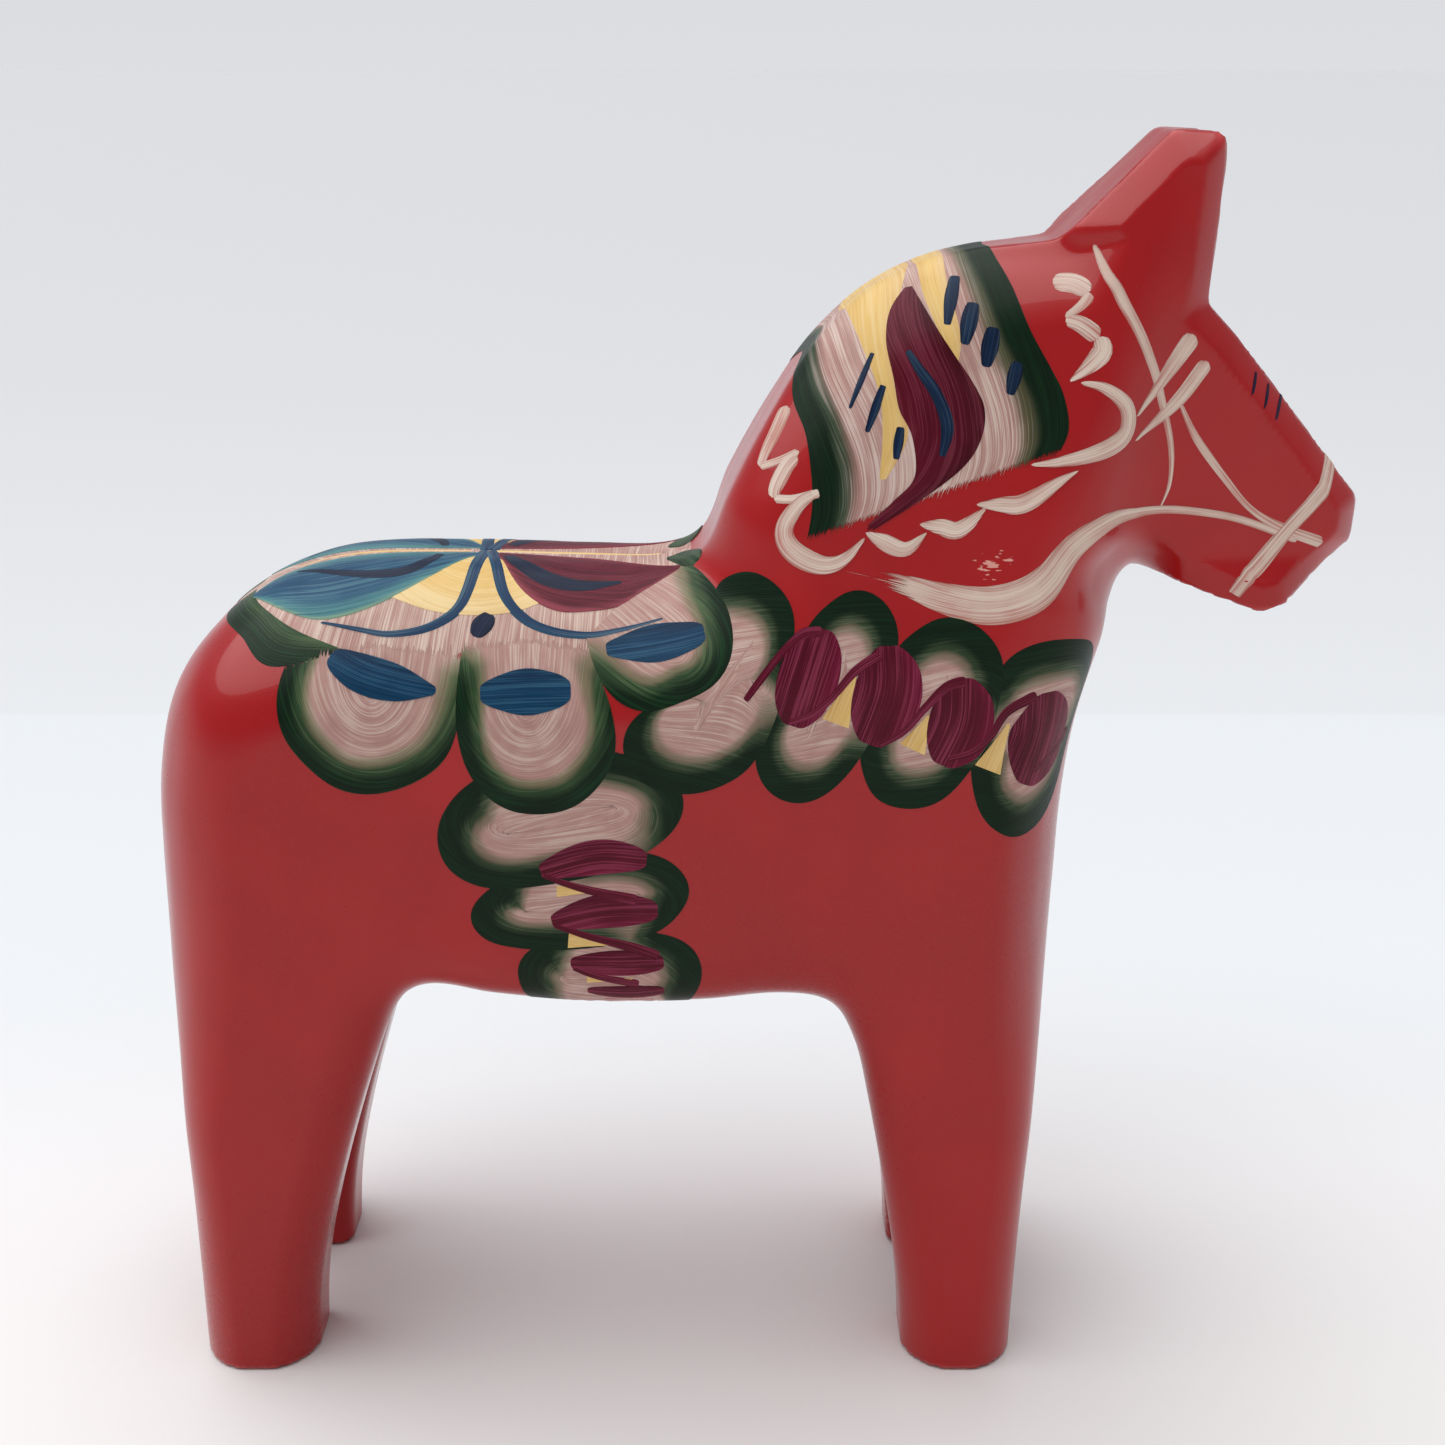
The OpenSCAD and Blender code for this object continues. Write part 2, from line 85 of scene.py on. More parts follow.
MAP_Z = np.arange(-32, 262, MAP_STEP)

# Half width after carving, by height and, on the head, by distance forward
WIDTH_Z = [-40, 0, 40, 90, 120, 150, 168, 192, 211, 226, 240, 262]
WIDTH_Y = [34.4, 34.9, 36.2, 37.5, 37.5, 36, 31.5, 26.5, 21.5, 18, 14.5, 12.5]
HEAD_X = [-130, 40, 60, 66, 72, 80, 95, 110, 119, 130]
HEAD_Y = [60, 42, 30, 26.5, 21.5, 16.8, 15, 12.6, 10.6, 9.5]


def ease(low, high, value):
    """0 below low, 1 above high, and 3t^2 - 2t^3 between."""
    t = np.clip((value - low) / (high - low), 0, 1)
    return t * t * (3 - 2 * t)


def soft_min(a, b, k):
    """The lesser of a and b, with the corner rounded over a band of k."""
    h = np.clip(0.5 + 0.5 * (b - a) / k, 0, 1)
    return b * (1 - h) + a * h - k * h * (1 - h)


def soft_max(a, b, k):
    """The greater of a and b, with the corner rounded over a band of k."""
    return -soft_min(-a, -b, k)


def soft_table(xs, ys, low, high, blur):
    """A table of (x, y) made into a smooth curve: straight lines, then a bell-shaped average over blur."""
    fine = np.arange(low - 4 * blur, high + 4 * blur, 0.5)
    bell = np.exp(-0.5 * (np.arange(-3 * blur, 3 * blur + 0.5, 0.5) / blur) ** 2)
    smooth = np.convolve(np.interp(fine, xs, ys), bell / bell.sum(), mode="same")
    return fine, smooth


WIDTH_TABLE = soft_table(WIDTH_Z, WIDTH_Y, WIDTH_Z[0], WIDTH_Z[-1], 5)
HEAD_TABLE = soft_table(HEAD_X, HEAD_Y, HEAD_X[0], HEAD_X[-1], 2.5)


def drawn_outline(spacing=0.8):
    """The outline as a dense polygon: a Hermite curve between each two points, whose tangents follow the
    neighbours at smooth points and the straight line at sharp ones."""
    points, sharp = OUTLINE[:, :2], OUTLINE[:, 2]
    after, before = np.roll(points, -1, 0), np.roll(points, 1, 0)
    length = np.linalg.norm(after - points, axis=1, keepdims=True)
    through = after - before
    through /= np.linalg.norm(through, axis=1, keepdims=True)
    straight = (after - points) / length
    leave = np.where(sharp[:, None] > 0, straight, through) * length
    arrive = np.where(np.roll(sharp, -1)[:, None] > 0, straight, np.roll(through, -1, 0)) * length
    steps = max(2, int(length.max() / spacing))
    t = np.linspace(0, 1, steps, endpoint=False)[None, :, None]
    curve = ((2 * t**3 - 3 * t**2 + 1) * points[:, None] + (t**3 - 2 * t**2 + t) * leave[:, None]
             + (3 * t**2 - 2 * t**3) * after[:, None] + (t**3 - t**2) * arrive[:, None])
    return curve.reshape(-1, 2)


def distance_map():
    """Distance from each map point to the outline, positive inside: the least distance to any of the
    polygon's edges, with the sign by counting the edges that a ray crosses."""
    start = drawn_outline()
    keep = np.linalg.norm(start - np.roll(start, 1, 0), axis=1) > 0
    start = start[keep][::2]
    edge = np.roll(start, -1, 0) - start
    x, z = np.meshgrid(MAP_X, MAP_Z, indexing="ij")
    points = np.stack([x.ravel(), z.ravel()], 1)
    best = np.full(len(points), np.inf)
    inside = np.zeros(len(points), bool)
    for a, d in zip(start, edge):
        w = points - a
        t = np.clip(w @ d / (d @ d), 0, 1)
        best = np.minimum(best, ((w - t[:, None] * d) ** 2).sum(1))
        above, above_next = w[:, 1] >= 0, w[:, 1] >= d[1]
        side = d[0] * w[:, 1] - d[1] * w[:, 0]
        inside ^= (above & ~above_next & (side > 0)) | (~above & above_next & (side < 0))
    signed = np.where(inside, 1, -1) * np.sqrt(best)
    signed = signed.reshape(x.shape)
    for axis in (0, 1, 0, 1):         # a light average takes the map's own steps away
        signed = (np.roll(signed, 1, axis) + 2 * signed + np.roll(signed, -1, axis)) / 4
    return signed


DISTANCE = distance_map()


def inset(x, z):
    """How far inside the side outline a point is, read from the map between its four neighbours."""
    u = np.clip((x - MAP_X[0]) / MAP_STEP, 0, len(MAP_X) - 1.001)
    v = np.clip((z - MAP_Z[0]) / MAP_STEP, 0, len(MAP_Z) - 1.001)
    i, j = u.astype(int), v.astype(int)
    u, v = u - i, v - j
    return (DISTANCE[i, j] * (1 - u) * (1 - v) + DISTANCE[i + 1, j] * u * (1 - v)
            + DISTANCE[i, j + 1] * (1 - u) * v + DISTANCE[i + 1, j + 1] * u * v)


# Width of the rounding in the side view, its width across, and its fullness: 1 is a flat chamfer, 2 a
# quarter circle
ROUNDING = {"leg": (9, 10, 1.7), "back": (28, 36, 2.2), "head": (5, 5, 1.12), "crest": (15, 14, 1.7),
            "belly": (15, 14, 1.8), "ends": (22, 28, 1.95)}


def roundings(x, z):
    """Half width, the width of the rounding in the side view and across, and its fullness, mixed from what
    each part of the horse has: legs, belly, back, crest, head, and the rump and chest ends."""
    neck = ease(150, 185, z)
    half = np.interp(z, *WIDTH_TABLE)
    head_half = np.interp(x, *HEAD_TABLE) + 60 * (1 - ease(118, 172, z))
    half = soft_min(half, head_half, 4)
    face = np.maximum(ease(55, 80, x - 0.6 * (230 - z)), ease(226, 234, z)) * neck
    head = np.maximum(face, ease(70, 86, x) * ease(140, 150, z))
    crest = neck * (1 - head)
    trunk = (1 - neck) * (1 - head)
    leg = (1 - ease(50, 118, z)) * trunk
    back = ease(118, 150, z) * trunk
    belly = trunk - leg - back
    ends = (ease(-78, -106, x) + ease(38, 60, x)) * (trunk - leg)
    parts = {"leg": leg, "back": back, "head": head, "crest": crest, "belly": belly}
    side, across, full = (sum(ROUNDING[key][i] * share for key, share in parts.items()) for i in range(3))
    side, across, full = (v + (end - v) * ends for v, end in zip((side, across, full), ROUNDING["ends"]))
    return half, side, np.minimum(across, half - 0.5), full


# The notch between the ears: height and place of its foot, how it falls forward, how it opens upwards, and
# the height that it never reaches below
NOTCH_Z, NOTCH_X = 229, 88
NOTCH_FALL = 3.4
NOTCH_SPREAD = 2.8
NOTCH_FLOOR = 221
LEG_GAP = 12                          # half the gap between left and right feet
LEG_GAP_TOP = 80                      # height at which the gap closes


def carving(x, y, z):
    """The horse as a solid, negative inside. In the side view and across the plank a point's place in the
    rounding is a share from 0 to 1, and the surface is where (a^n + b^n)^(1/n) = 1. The gap between the
    left and right legs and the notch between the ears are taken away, and the corners are softened."""
    half, side, across, full = roundings(x, z)
    s, out = inset(x, z), np.abs(y)
    a = np.maximum(1 - np.minimum(s, side) / side, 0) ** full
    b = (np.maximum(out - (half - across), 0) / across) ** full
    skin = ((a + b) ** (1 / full) - 1) * np.minimum(np.minimum(side, across), 12)
    arch = np.clip(1 - (np.clip(z, 0, None) / LEG_GAP_TOP) ** 2.4, 0, 1) ** 0.6
    gap = LEG_GAP * arch - 4 * ease(60, 84, z)
    solid = soft_max(skin, gap - out, 5)
    valley = NOTCH_Z + NOTCH_FALL * (NOTCH_X - x) + NOTCH_SPREAD * out
    notch = soft_min(z - valley, 2 * (z - NOTCH_FLOOR), 2) / 4
    return soft_max(solid, notch, 1.5)


SLOPE_REACH = 0.7
LONGEST_MOVE = 4


def slope(solid, points, reach=SLOPE_REACH):
    """Gradient of a solid at points, from differences over a short reach to each side."""
    grad = np.empty_like(points)
    for axis in range(3):
        step = np.zeros(3)
        step[axis] = reach
        ahead, behind = points + step, points - step
        grad[:, axis] = (solid(*ahead.T) - solid(*behind.T)) / (2 * reach)
    return grad


def onto(solid, points, rounds=8):
    """Moves points onto the solid's surface along its gradient, p - f g / |g|^2, and gives the normals
    there. Where the gradient is flat the move is outwards and a little up."""
    points = points.copy()
    for _ in range(rounds):
        value, grad = solid(*points.T), slope(solid, points)
        flat = np.linalg.norm(grad, axis=1) < 0.05
        grad[flat] = np.stack([0 * points[flat, 0], np.sign(points[flat, 1]), 0.3 + 0 * points[flat, 0]], 1)
        move = -value[:, None] * grad / np.maximum((grad**2).sum(1, keepdims=True), 0.02)
        far = np.linalg.norm(move, axis=1, keepdims=True)
        points += move * np.minimum(1, LONGEST_MOVE / np.maximum(far, 1e-9))
    grad = slope(solid, points)
    return points, grad / np.maximum(np.linalg.norm(grad, axis=1, keepdims=True), 1e-9)


# --- meshes ----------------------------------------------------------------------------------------

NET_SPAN = ((-123, 124), (-42, 43), (-3, 255))      # drawing space that a net looks at, in x, y and z


def net(solid, spacing):
    """Surface net of a solid: the space is cut into cells, each cell that the surface crosses gets one
    point, the mean of the crossings on its edges, and each crossed edge joins its four cells' points."""
    axes = [np.arange(low, high, spacing) for low, high in NET_SPAN]
    value = solid(axes[0][:, None, None], axes[1][None, :, None], axes[2][None, None, :])
    shape = np.array(value.shape) - 1
    total, count = np.zeros((*shape, 3)), np.zeros(shape)
    steps = [(0, 1, 2), (1, 0, 2), (2, 0, 1)]
    for axis, one, two in steps:
        for p in (0, 1):
            for q in (0, 1):
                low, high = [slice(0, -1)] * 3, [slice(0, -1)] * 3
                low[one] = high[one] = slice(p, value.shape[one] - 1 + p)
                low[two] = high[two] = slice(q, value.shape[two] - 1 + q)
                high[axis] = slice(1, None)
                f, g = value[tuple(low)], value[tuple(high)]
                cut = (f < 0) != (g < 0)
                share = np.where(cut, f / np.where(cut, f - g, 1), 0)
                total[..., axis] += share
                total[..., one] += p * cut
                total[..., two] += q * cut
                count += cut
    used = count > 0
    number = np.full(shape, -1)
    number[used] = np.arange(used.sum())
    cell = np.argwhere(used)
    origin = np.array([a[0] for a in axes])
    points = origin + spacing * (cell + total[used] / count[used][:, None])
    quads = []
    for axis, one, two in steps:
        f = np.moveaxis(value, (axis, one, two), (0, 1, 2))
        n = np.moveaxis(number, (axis, one, two), (0, 1, 2))
        low, high = f[:-1, 1:-1, 1:-1] < 0, f[1:, 1:-1, 1:-1] < 0
        ring = np.stack([n[:, :-1, :-1], n[:, 1:, :-1], n[:, 1:, 1:], n[:, :-1, 1:]], -1)
        turn = -1 if axis == 1 else 1
        quads += [ring[low & ~high][:, ::turn], ring[~low & high][:, ::-turn]]
    return points, np.concatenate(quads)


def make_piece(name, points, quads, normals=None, attributes=None):
    """A mesh object from drawing points and four-cornered faces, with smooth shading."""
    mesh = bpy.data.meshes.new(name)
    mesh.vertices.add(len(points))
    mesh.vertices.foreach_set("co", to_frame(points).astype(np.float32).ravel())
    mesh.loops.add(quads.size)
    mesh.loops.foreach_set("vertex_index", quads.astype(np.int32).ravel())
    mesh.polygons.add(len(quads))
    mesh.polygons.foreach_set("loop_start", np.arange(0, quads.size, 4, dtype=np.int32))
    mesh.polygons.foreach_set("use_smooth", np.ones(len(quads), bool))
    mesh.update(calc_edges=True)
    for key, values in (attributes or {}).items():
        kind = "FLOAT_VECTOR" if values.ndim == 2 else "FLOAT"
        layer = mesh.attributes.new(key, kind, "POINT")
        layer.data.foreach_set("vector" if values.ndim == 2 else "value", values.astype(np.float32).ravel())
    mesh.validate()
    if normals is not None:
        normals = normals / np.linalg.norm(normals, axis=1, keepdims=True)
        mesh.normals_split_custom_set_from_vertices(normals.tolist())
    piece = bpy.data.objects.new(name, mesh)
    bpy.context.scene.collection.objects.link(piece)
    return piece


def settle(piece, node, material):
    """Gives a piece its finish, and puts it on the frame in place of a node."""
    piece.data.materials.append(material)
    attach(piece, "root")
    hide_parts(node)
    return piece


# --- brushwork -------------------------------------------------------------------------------------

SUNK = -0.06                          # height of a stroke's rim, just under the coat's surface
UNDERSIDE = SUNK - 0.1                # height of its lower face
BRISTLE_STEP = 0.7                    # spacing of a stroke's points
CLOSED_BLEND, OPEN_BLEND = 11.5, 9.5  # how far a scallop's green reaches inwards from its rim
MIRROR_SEED = 3.7                     # makes the left flank's bristles differ from the right flank's


def spline(points, count):
    """Curve through points: cubic Hermite pieces whose tangents are half the chord of the neighbours,
    read at count places spread evenly along its length."""
    points = np.asarray(points, float)
    if len(points) == 2:
        return points[0] + np.linspace(0, 1, count)[:, None] * (points[1] - points[0])
    tangent = np.gradient(points, axis=0)
    t = np.linspace(0, len(points) - 1, 40 * len(points))
    i = np.minimum(t.astype(int), len(points) - 2)
    u = (t - i)[:, None]
    dense = ((2 * u**3 - 3 * u**2 + 1) * points[i] + (u**3 - 2 * u**2 + u) * tangent[i]
             + (3 * u**2 - 2 * u**3) * points[i + 1] + (u**3 - u**2) * tangent[i + 1])
    run = np.concatenate([[0], np.cumsum(np.linalg.norm(np.diff(dense, axis=0), axis=1))])
    even = np.linspace(0, run[-1], count)
    return np.stack([np.interp(even, run, dense[:, k]) for k in range(dense.shape[1])], 1)


def soften(line, closed, passes=16):
    """Rounds a line's corners: each point moves to (before + 2 x itself + after) / 4, over and over."""
    for _ in range(passes):
        if closed:
            line = (np.roll(line, 1, 0) + 2 * line + np.roll(line, -1, 0)) / 4
        else:
            line = np.concatenate([line[:1], (line[:-2] + 2 * line[1:-1] + line[2:]) / 4, line[-1:]])
    return line


def sheet_of_paint(grid, level, along, across, share, tail, seed, rims=(1, 1, 1, 1), fold=None):
    """One layer of paint over a grid of points. Both faces lie along the coat: the upper one at its level,
    dropping to the coat at the rims that are on, in the order first row, last row, first column, last
    column; the lower one under the coat; a wall joins them round the border. along, across, share and tail
    give each point's place in the stroke to the finish. fold is (the column that each point of the first
    row is welded to, whether the last column joins the first)."""
    rows, columns = grid.shape[:2]
    base, normal = onto(carving, grid.reshape(-1, 3))
    r, c = np.meshgrid(np.arange(rows) / (rows - 1), np.arange(columns) / (columns - 1), indexing="ij")
    thin = np.ones((rows, columns))
    for on, place in zip(rims, (r, 1 - r, c, 1 - c)):
        if on:
            thin *= np.where(place < 1e-6, 0, 1)
    height = (SUNK + (level - SUNK) * thin).ravel()
    upper = base + normal * height[:, None]
    lower = base + normal * UNDERSIDE
    index = np.arange(rows * columns).reshape(rows, columns)
    wrap = fold is not None and fold[1]
    if fold is not None:
        index = index.copy()
        index[0] = index[0][fold[0]]
    if wrap:
        index = np.concatenate([index, index[:, :1]], 1)
    top = np.stack([index[:-1, :-1], index[1:, :-1], index[1:, 1:], index[:-1, 1:]], -1).reshape(-1, 4)
    count = rows * columns
    borders = [index[-1]]
    if fold is None:
        borders.append(index[0, ::-1])
    if not wrap:
        borders += [index[:, 0], index[::-1, -1]]
    walls = [np.stack([line[:-1], line[:-1] + count, line[1:] + count, line[1:]], -1) for line in borders]
    faces = np.concatenate([top, top[:, ::-1] + count, *walls])
    bristle = np.stack([along.ravel(), across.ravel(), np.full(count, seed, float)], 1)
    blend = np.stack([share.ravel(), tail.ravel(), thin.ravel()], 1)
    return {"points": np.concatenate([upper, lower]), "faces": faces,
            "normals": np.concatenate([normal, -normal]),
            "bristle": np.concatenate([bristle, bristle]), "blend": np.concatenate([blend, blend])}


def ribbon(path, widths, level, seed, fray=0.0, round_ends=True):
    """A stroke along a path: at each place the brush's edge is the cross product of the coat's normal and
    the path's direction, and points lie across it from -width/2 to width/2. The ends are half circles, and
    fray is the share of the stroke that runs dry."""
    path = np.asarray(path, float)
    length = np.linalg.norm(np.diff(path, axis=0), axis=1).sum()
    count = int(np.clip(length / BRISTLE_STEP, 9, 90))
    centre = spline(path, count)
    centre, normal = onto(carving, centre)
    u = np.linspace(0, 1, count)
    width = spline(np.stack([np.linspace(0, 1, len(widths)), widths], 1), 200)
    width = np.interp(u, width[:, 0], width[:, 1])
    if round_ends:
        near = np.minimum(u, 1 - u) * length
        cap = np.clip(near / np.maximum(width / 2, 0.3), 0, 1)
        width = width * np.sqrt(np.clip(1 - (1 - cap) ** 2, 0.004, 1))
    direction = np.gradient(centre, axis=0)
    direction /= np.linalg.norm(direction, axis=1, keepdims=True)
    edge = np.cross(normal, direction)
    edge /= np.linalg.norm(edge, axis=1, keepdims=True)
    columns = int(np.clip(max(widths) / BRISTLE_STEP, 4, 18)) + 1
    v = -np.cos(np.linspace(0, np.pi, columns))
    grid = centre[:, None] + edge[:, None] * (v[None, :, None] * width[:, None, None] / 2)
    along = np.repeat((u * length)[:, None], columns, 1)
    across = v[None] * width[:, None] / 2 + 0 * along
    share = np.repeat(((v + 1) / 2)[None], count, 0)
    tail = np.repeat(np.clip((u - 1 + fray) / max(fray, 1e-6), 0, 1)[:, None] * (fray > 0), columns, 1)
    return sheet_of_paint(grid, level, along, across, share, tail, seed)


def leaf(first, second, level, seed, columns=15, fray=0.0, rims=(1, 1, 1, 1), over=False):
    """A filled shape between two edges that start and end together or apart: straight lines between the
    edges at equal shares of their length. With over, the shape goes on over the crest to the other side."""
    if over:
        flip = np.array([1, -1, 1])
        first = [*first, *[tuple(np.array(p) * flip) for p in first[-2::-1]]]
        second = [*second, *[tuple(np.array(p) * flip) for p in second[-2::-1]]]
    length = max(np.linalg.norm(np.diff(np.asarray(e, float), axis=0), axis=1).sum() for e in (first,
                                                                                               second))
    count = int(np.clip(length / BRISTLE_STEP, 12, 150))
    one, two = spline(first, count), spline(second, count)
    v = (1 - np.cos(np.linspace(0, np.pi, columns))) / 2
    grid = one[:, None] * (1 - v[None, :, None]) + two[:, None] * v[None, :, None]
    u = np.linspace(0, 1, count)
    gap = np.linalg.norm(two - one, axis=1)
    along = np.repeat((u * length)[:, None], columns, 1)
    across = (v[None] - 0.5) * gap[:, None]
    share = np.repeat(v[None], count, 0)
    near_end = np.minimum(u, 1 - u) if over else 1 - u
    tail = np.repeat((np.clip(1 - near_end / max(fray, 1e-6), 0, 1) * (fray > 0))[:, None], columns, 1)
    return sheet_of_paint(grid, level, along, across, share, tail, seed, rims)


def fan(outline, pivot, level, seed, closed=False, dark=None, dry=0.0):
    """A scallop painted by turning the brush: straight lines from a pivot to the outline. The pivot slides
    along a short line from its first end to its second and back as the brush goes round, and the two ways
    are welded. dark is the green rim's strength at each outline point, and dry is how many millimetres of
    an open scallop's two ends run dry."""
    points = [*outline, outline[0]] if closed else outline
    length = np.linalg.norm(np.diff(np.asarray(points, float), axis=0), axis=1).sum()
    count = 2 * int(np.clip(length / BRISTLE_STEP / 2, 12, 70)) + 1
    rim = spline(points, count)
    rim = np.vstack([soften(rim[:-1], True), rim[:1]]) if closed else soften(rim, False)
    strength = np.ones(count) if dark is None else np.interp(
        np.linspace(0, 1, count), np.linspace(0, 1, len(points)), [*dark, dark[0]] if closed else dark)
    go = 1 - np.linspace(-1, 1, count) ** 2
    pivot = np.asarray(pivot, float)
    if closed:
        go = (1 - np.cos(np.pi * (1 - np.abs(np.linspace(-1, 1, count))))) / 2
    centre = pivot[0] * (1 - go[:, None]) + pivot[1] * go[:, None]
    if closed:
        rim, centre, strength, count = rim[:-1], centre[:-1], strength[:-1], count - 1
    v = np.sin(np.linspace(0, np.pi / 2, 16))
    grid = centre[None] * (1 - v[:, None, None]) + rim[None] * v[:, None, None]
    reach = np.linalg.norm(rim - centre, axis=1)
    along = np.repeat((np.linspace(0, 1, count) * length)[None], len(v), 0)
    across = v[:, None] * reach[None]
    share = 1 - np.clip((reach[None] - across) / (CLOSED_BLEND if closed else OPEN_BLEND), 0, 1)
    share = share * strength[None]
    near_end = np.minimum(np.linspace(0, 1, count), np.linspace(1, 0, count)) * length
    tail = np.repeat(np.clip(1 - near_end / max(dry, 1e-6), 0, 1)[None] * (dry > 0), len(v), 0)
    number = np.arange(count)
    partner = (count - number) % count if closed else count - 1 - number
    fold = (np.minimum(number, partner), closed)
    return sheet_of_paint(grid, level, along, across, share, tail, seed, (0, 1, not closed, not closed),
                          fold)


def painted(name, patches, node, material):
    """Joins patches drawn for the left flank and their mirror images into one piece. A patch that is alone
    goes over the crest or lies on it, and has no mirror image."""
    points, faces, normals, bristle, blend, start = [], [], [], [], [], 0
    for patch in patches:
        for side in (-1,) if patch.get("alone", False) else (-1, 1):
            flip = np.array([1, side, 1])
            points.append(patch["points"] * flip)
            normals.append(patch["normals"] * flip)
            faces.append(patch["faces"] + start)
            bristle.append(patch["bristle"] + np.array([0, 0, MIRROR_SEED * (side > 0)]))
            blend.append(patch["blend"])
            start += len(patch["points"])
    points, normals = np.concatenate(points), np.concatenate(normals)
    piece = make_piece(name, points, outward(points, np.concatenate(faces), normals), normals,
                       {"bristle": np.concatenate(bristle), "blend": np.concatenate(blend)})
    return settle(piece, node, material)


def outward(points, faces, normals):
    """Turns each face so that it looks the way of its corners' normals."""
    corner = points[faces]
    cross = np.cross(corner[:, 2] - corner[:, 0], corner[:, 3] - corner[:, 1])
    wrong = (cross * normals[faces].sum(1)).sum(1) < 0
    faces = faces.copy()
    faces[wrong] = faces[wrong][:, ::-1]
    return faces


# --- finishes --------------------------------------------------------------------------------------

def linear(red, green, blue):
    """A paint colour from 0 to 255 a channel, made linear, with full opacity."""
    c = np.array([red, green, blue]) / 255
    c = np.where(c <= 0.04045, c / 12.92, ((c + 0.055) / 1.055) ** 2.4)
    return (*c.tolist(), 1.0)


PAINT_IOR = 1.46                      # refractive index of oil paint and lacquer


class Value:
    """A number that changes over a surface. Python's operators add Math nodes."""

    def __init__(self, finish, socket):
        self.finish, self.socket = finish, socket

    def math(self, operation, *others):
        sockets = dict(enumerate((self, *others)))
        return Value(self.finish, self.finish.node("ShaderNodeMath", {"operation": operation},
                                                   sockets).outputs[0])

    def __add__(self, other):
        return self.math("ADD", other)

    def __sub__(self, other):
        return self.math("SUBTRACT", other)

    def __rsub__(self, other):
        return (self * -1.0).math("ADD", other)

    def __mul__(self, other):
        return self.math("MULTIPLY", other)

    __radd__, __rmul__ = __add__, __mul__

    def between(self, low, high):
        """0 below low, 1 above high, smooth between."""
        sockets = {"Value": self, "From Min": low, "From Max": high}
        node = self.finish.node("ShaderNodeMapRange", {"interpolation_type": "SMOOTHSTEP"}, sockets)
        return Value(self.finish, node.outputs[0])


class Finish:
    """The nodes of a new material, or of the owner given, such as a world."""

    def __init__(self, name, owner=None):
        self.material = owner or bpy.data.materials.new(name)
        self.material.use_nodes = True
        self.tree = self.material.node_tree
        self.tree.nodes.clear()

    def node(self, kind, settings=None, sockets=None):
        """Adds a node: its settings first, a ramp's stops among them, then its sockets' values or links."""
        node = self.tree.nodes.new(kind)
        for key, value in (settings or {}).items():
            if key == "stops":
                ramp = node.color_ramp
                while len(ramp.elements) < len(value):
                    ramp.elements.new(0.5)
                for element, (place, colour) in zip(ramp.elements, value):
                    element.position, element.color = place, colour
            else:
                setattr(node, key, value)
        for key, value in (sockets or {}).items():
            if isinstance(value, Value):
                self.tree.links.new(value.socket, node.inputs[key])
            elif isinstance(value, bpy.types.NodeSocket):
                self.tree.links.new(value, node.inputs[key])
            else:
                node.inputs[key].default_value = value
        return node

    def noise(self, vector, scale, detail=2.0, roughness=0.5):
        """Cloudy noise round 0.5, with scale clouds to the metre."""
        sockets = {"Vector": vector, "Scale": scale, "Detail": detail, "Roughness": roughness}
        return Value(self, self.node("ShaderNodeTexNoise", {}, sockets).outputs["Fac"])

    def place(self, stretch=None):
        """Where a point is in the frame, stretched by a factor on each axis if one is given."""
        place = self.node("ShaderNodeTexCoord").outputs["Object"]
        if stretch is None:
            return place
        return self.node("ShaderNodeMapping", {}, {"Vector": place, "Scale": stretch}).outputs[0]

    def attribute(self, name):
        """The node that reads a mesh attribute."""
        return self.node("ShaderNodeAttribute", {"attribute_name": name})

    def parts(self, vector):
        """A vector's three numbers."""
        node = self.node("ShaderNodeSeparateXYZ", {}, {0: vector})
        return [Value(self, socket) for socket in node.outputs]

    def vector(self, x, y, z):
        """Three numbers as a vector."""
        return self.node("ShaderNodeCombineXYZ", {}, {"X": x, "Y": y, "Z": z}).outputs[0]

    def ramp(self, value, stops, interpolation="EASE"):
        """A colour ramp read at a value. Stops are (place, colour)."""
        node = self.node("ShaderNodeValToRGB", {"stops": stops}, {0: value})
        node.color_ramp.interpolation = interpolation
        return node.outputs[0]

    def mix(self, share, first, second, blend="MIX"):
        """Two colours mixed by a share of the second."""
        settings = {"data_type": "RGBA", "blend_type": blend, "clamp_factor": True}
        return self.node("ShaderNodeMix", settings, {0: share, 6: first, 7: second}).outputs[2]

    def shine(self, colour, roughness, bumps, coat=0.0, coat_roughness=0.1, alpha=1.0, gloss=0.38):
        """The shader, and the finished material: bumps is a list of (height, distance in metres), laid one
        on another."""
        normal = None
        for height, distance in bumps:
            sockets = {"Height": height, "Distance": distance, "Strength": 1.0}
            if normal is not None:
                sockets["Normal"] = normal
            normal = self.node("ShaderNodeBump", {}, sockets).outputs[0]
        sockets = {"Base Color": colour, "Roughness": roughness, "Coat Weight": coat,
                   "Coat Roughness": coat_roughness, "Alpha": alpha, "IOR": PAINT_IOR,
                   "Specular IOR Level": gloss}
        if normal is not None:
            sockets["Normal"] = normal
        shader = self.node("ShaderNodeBsdfPrincipled", {}, sockets)
        self.node("ShaderNodeOutputMaterial", {}, {"Surface": shader.outputs[0]})
        return self.material


NECK_SCUFF = (0.0465, -0.0315, 0.1735)      # middle of the scuff on the neck
SCUFF_CORE, SCUFF_REACH = 0.0015, 0.006     # its full strength ends and its last marks lie this far out


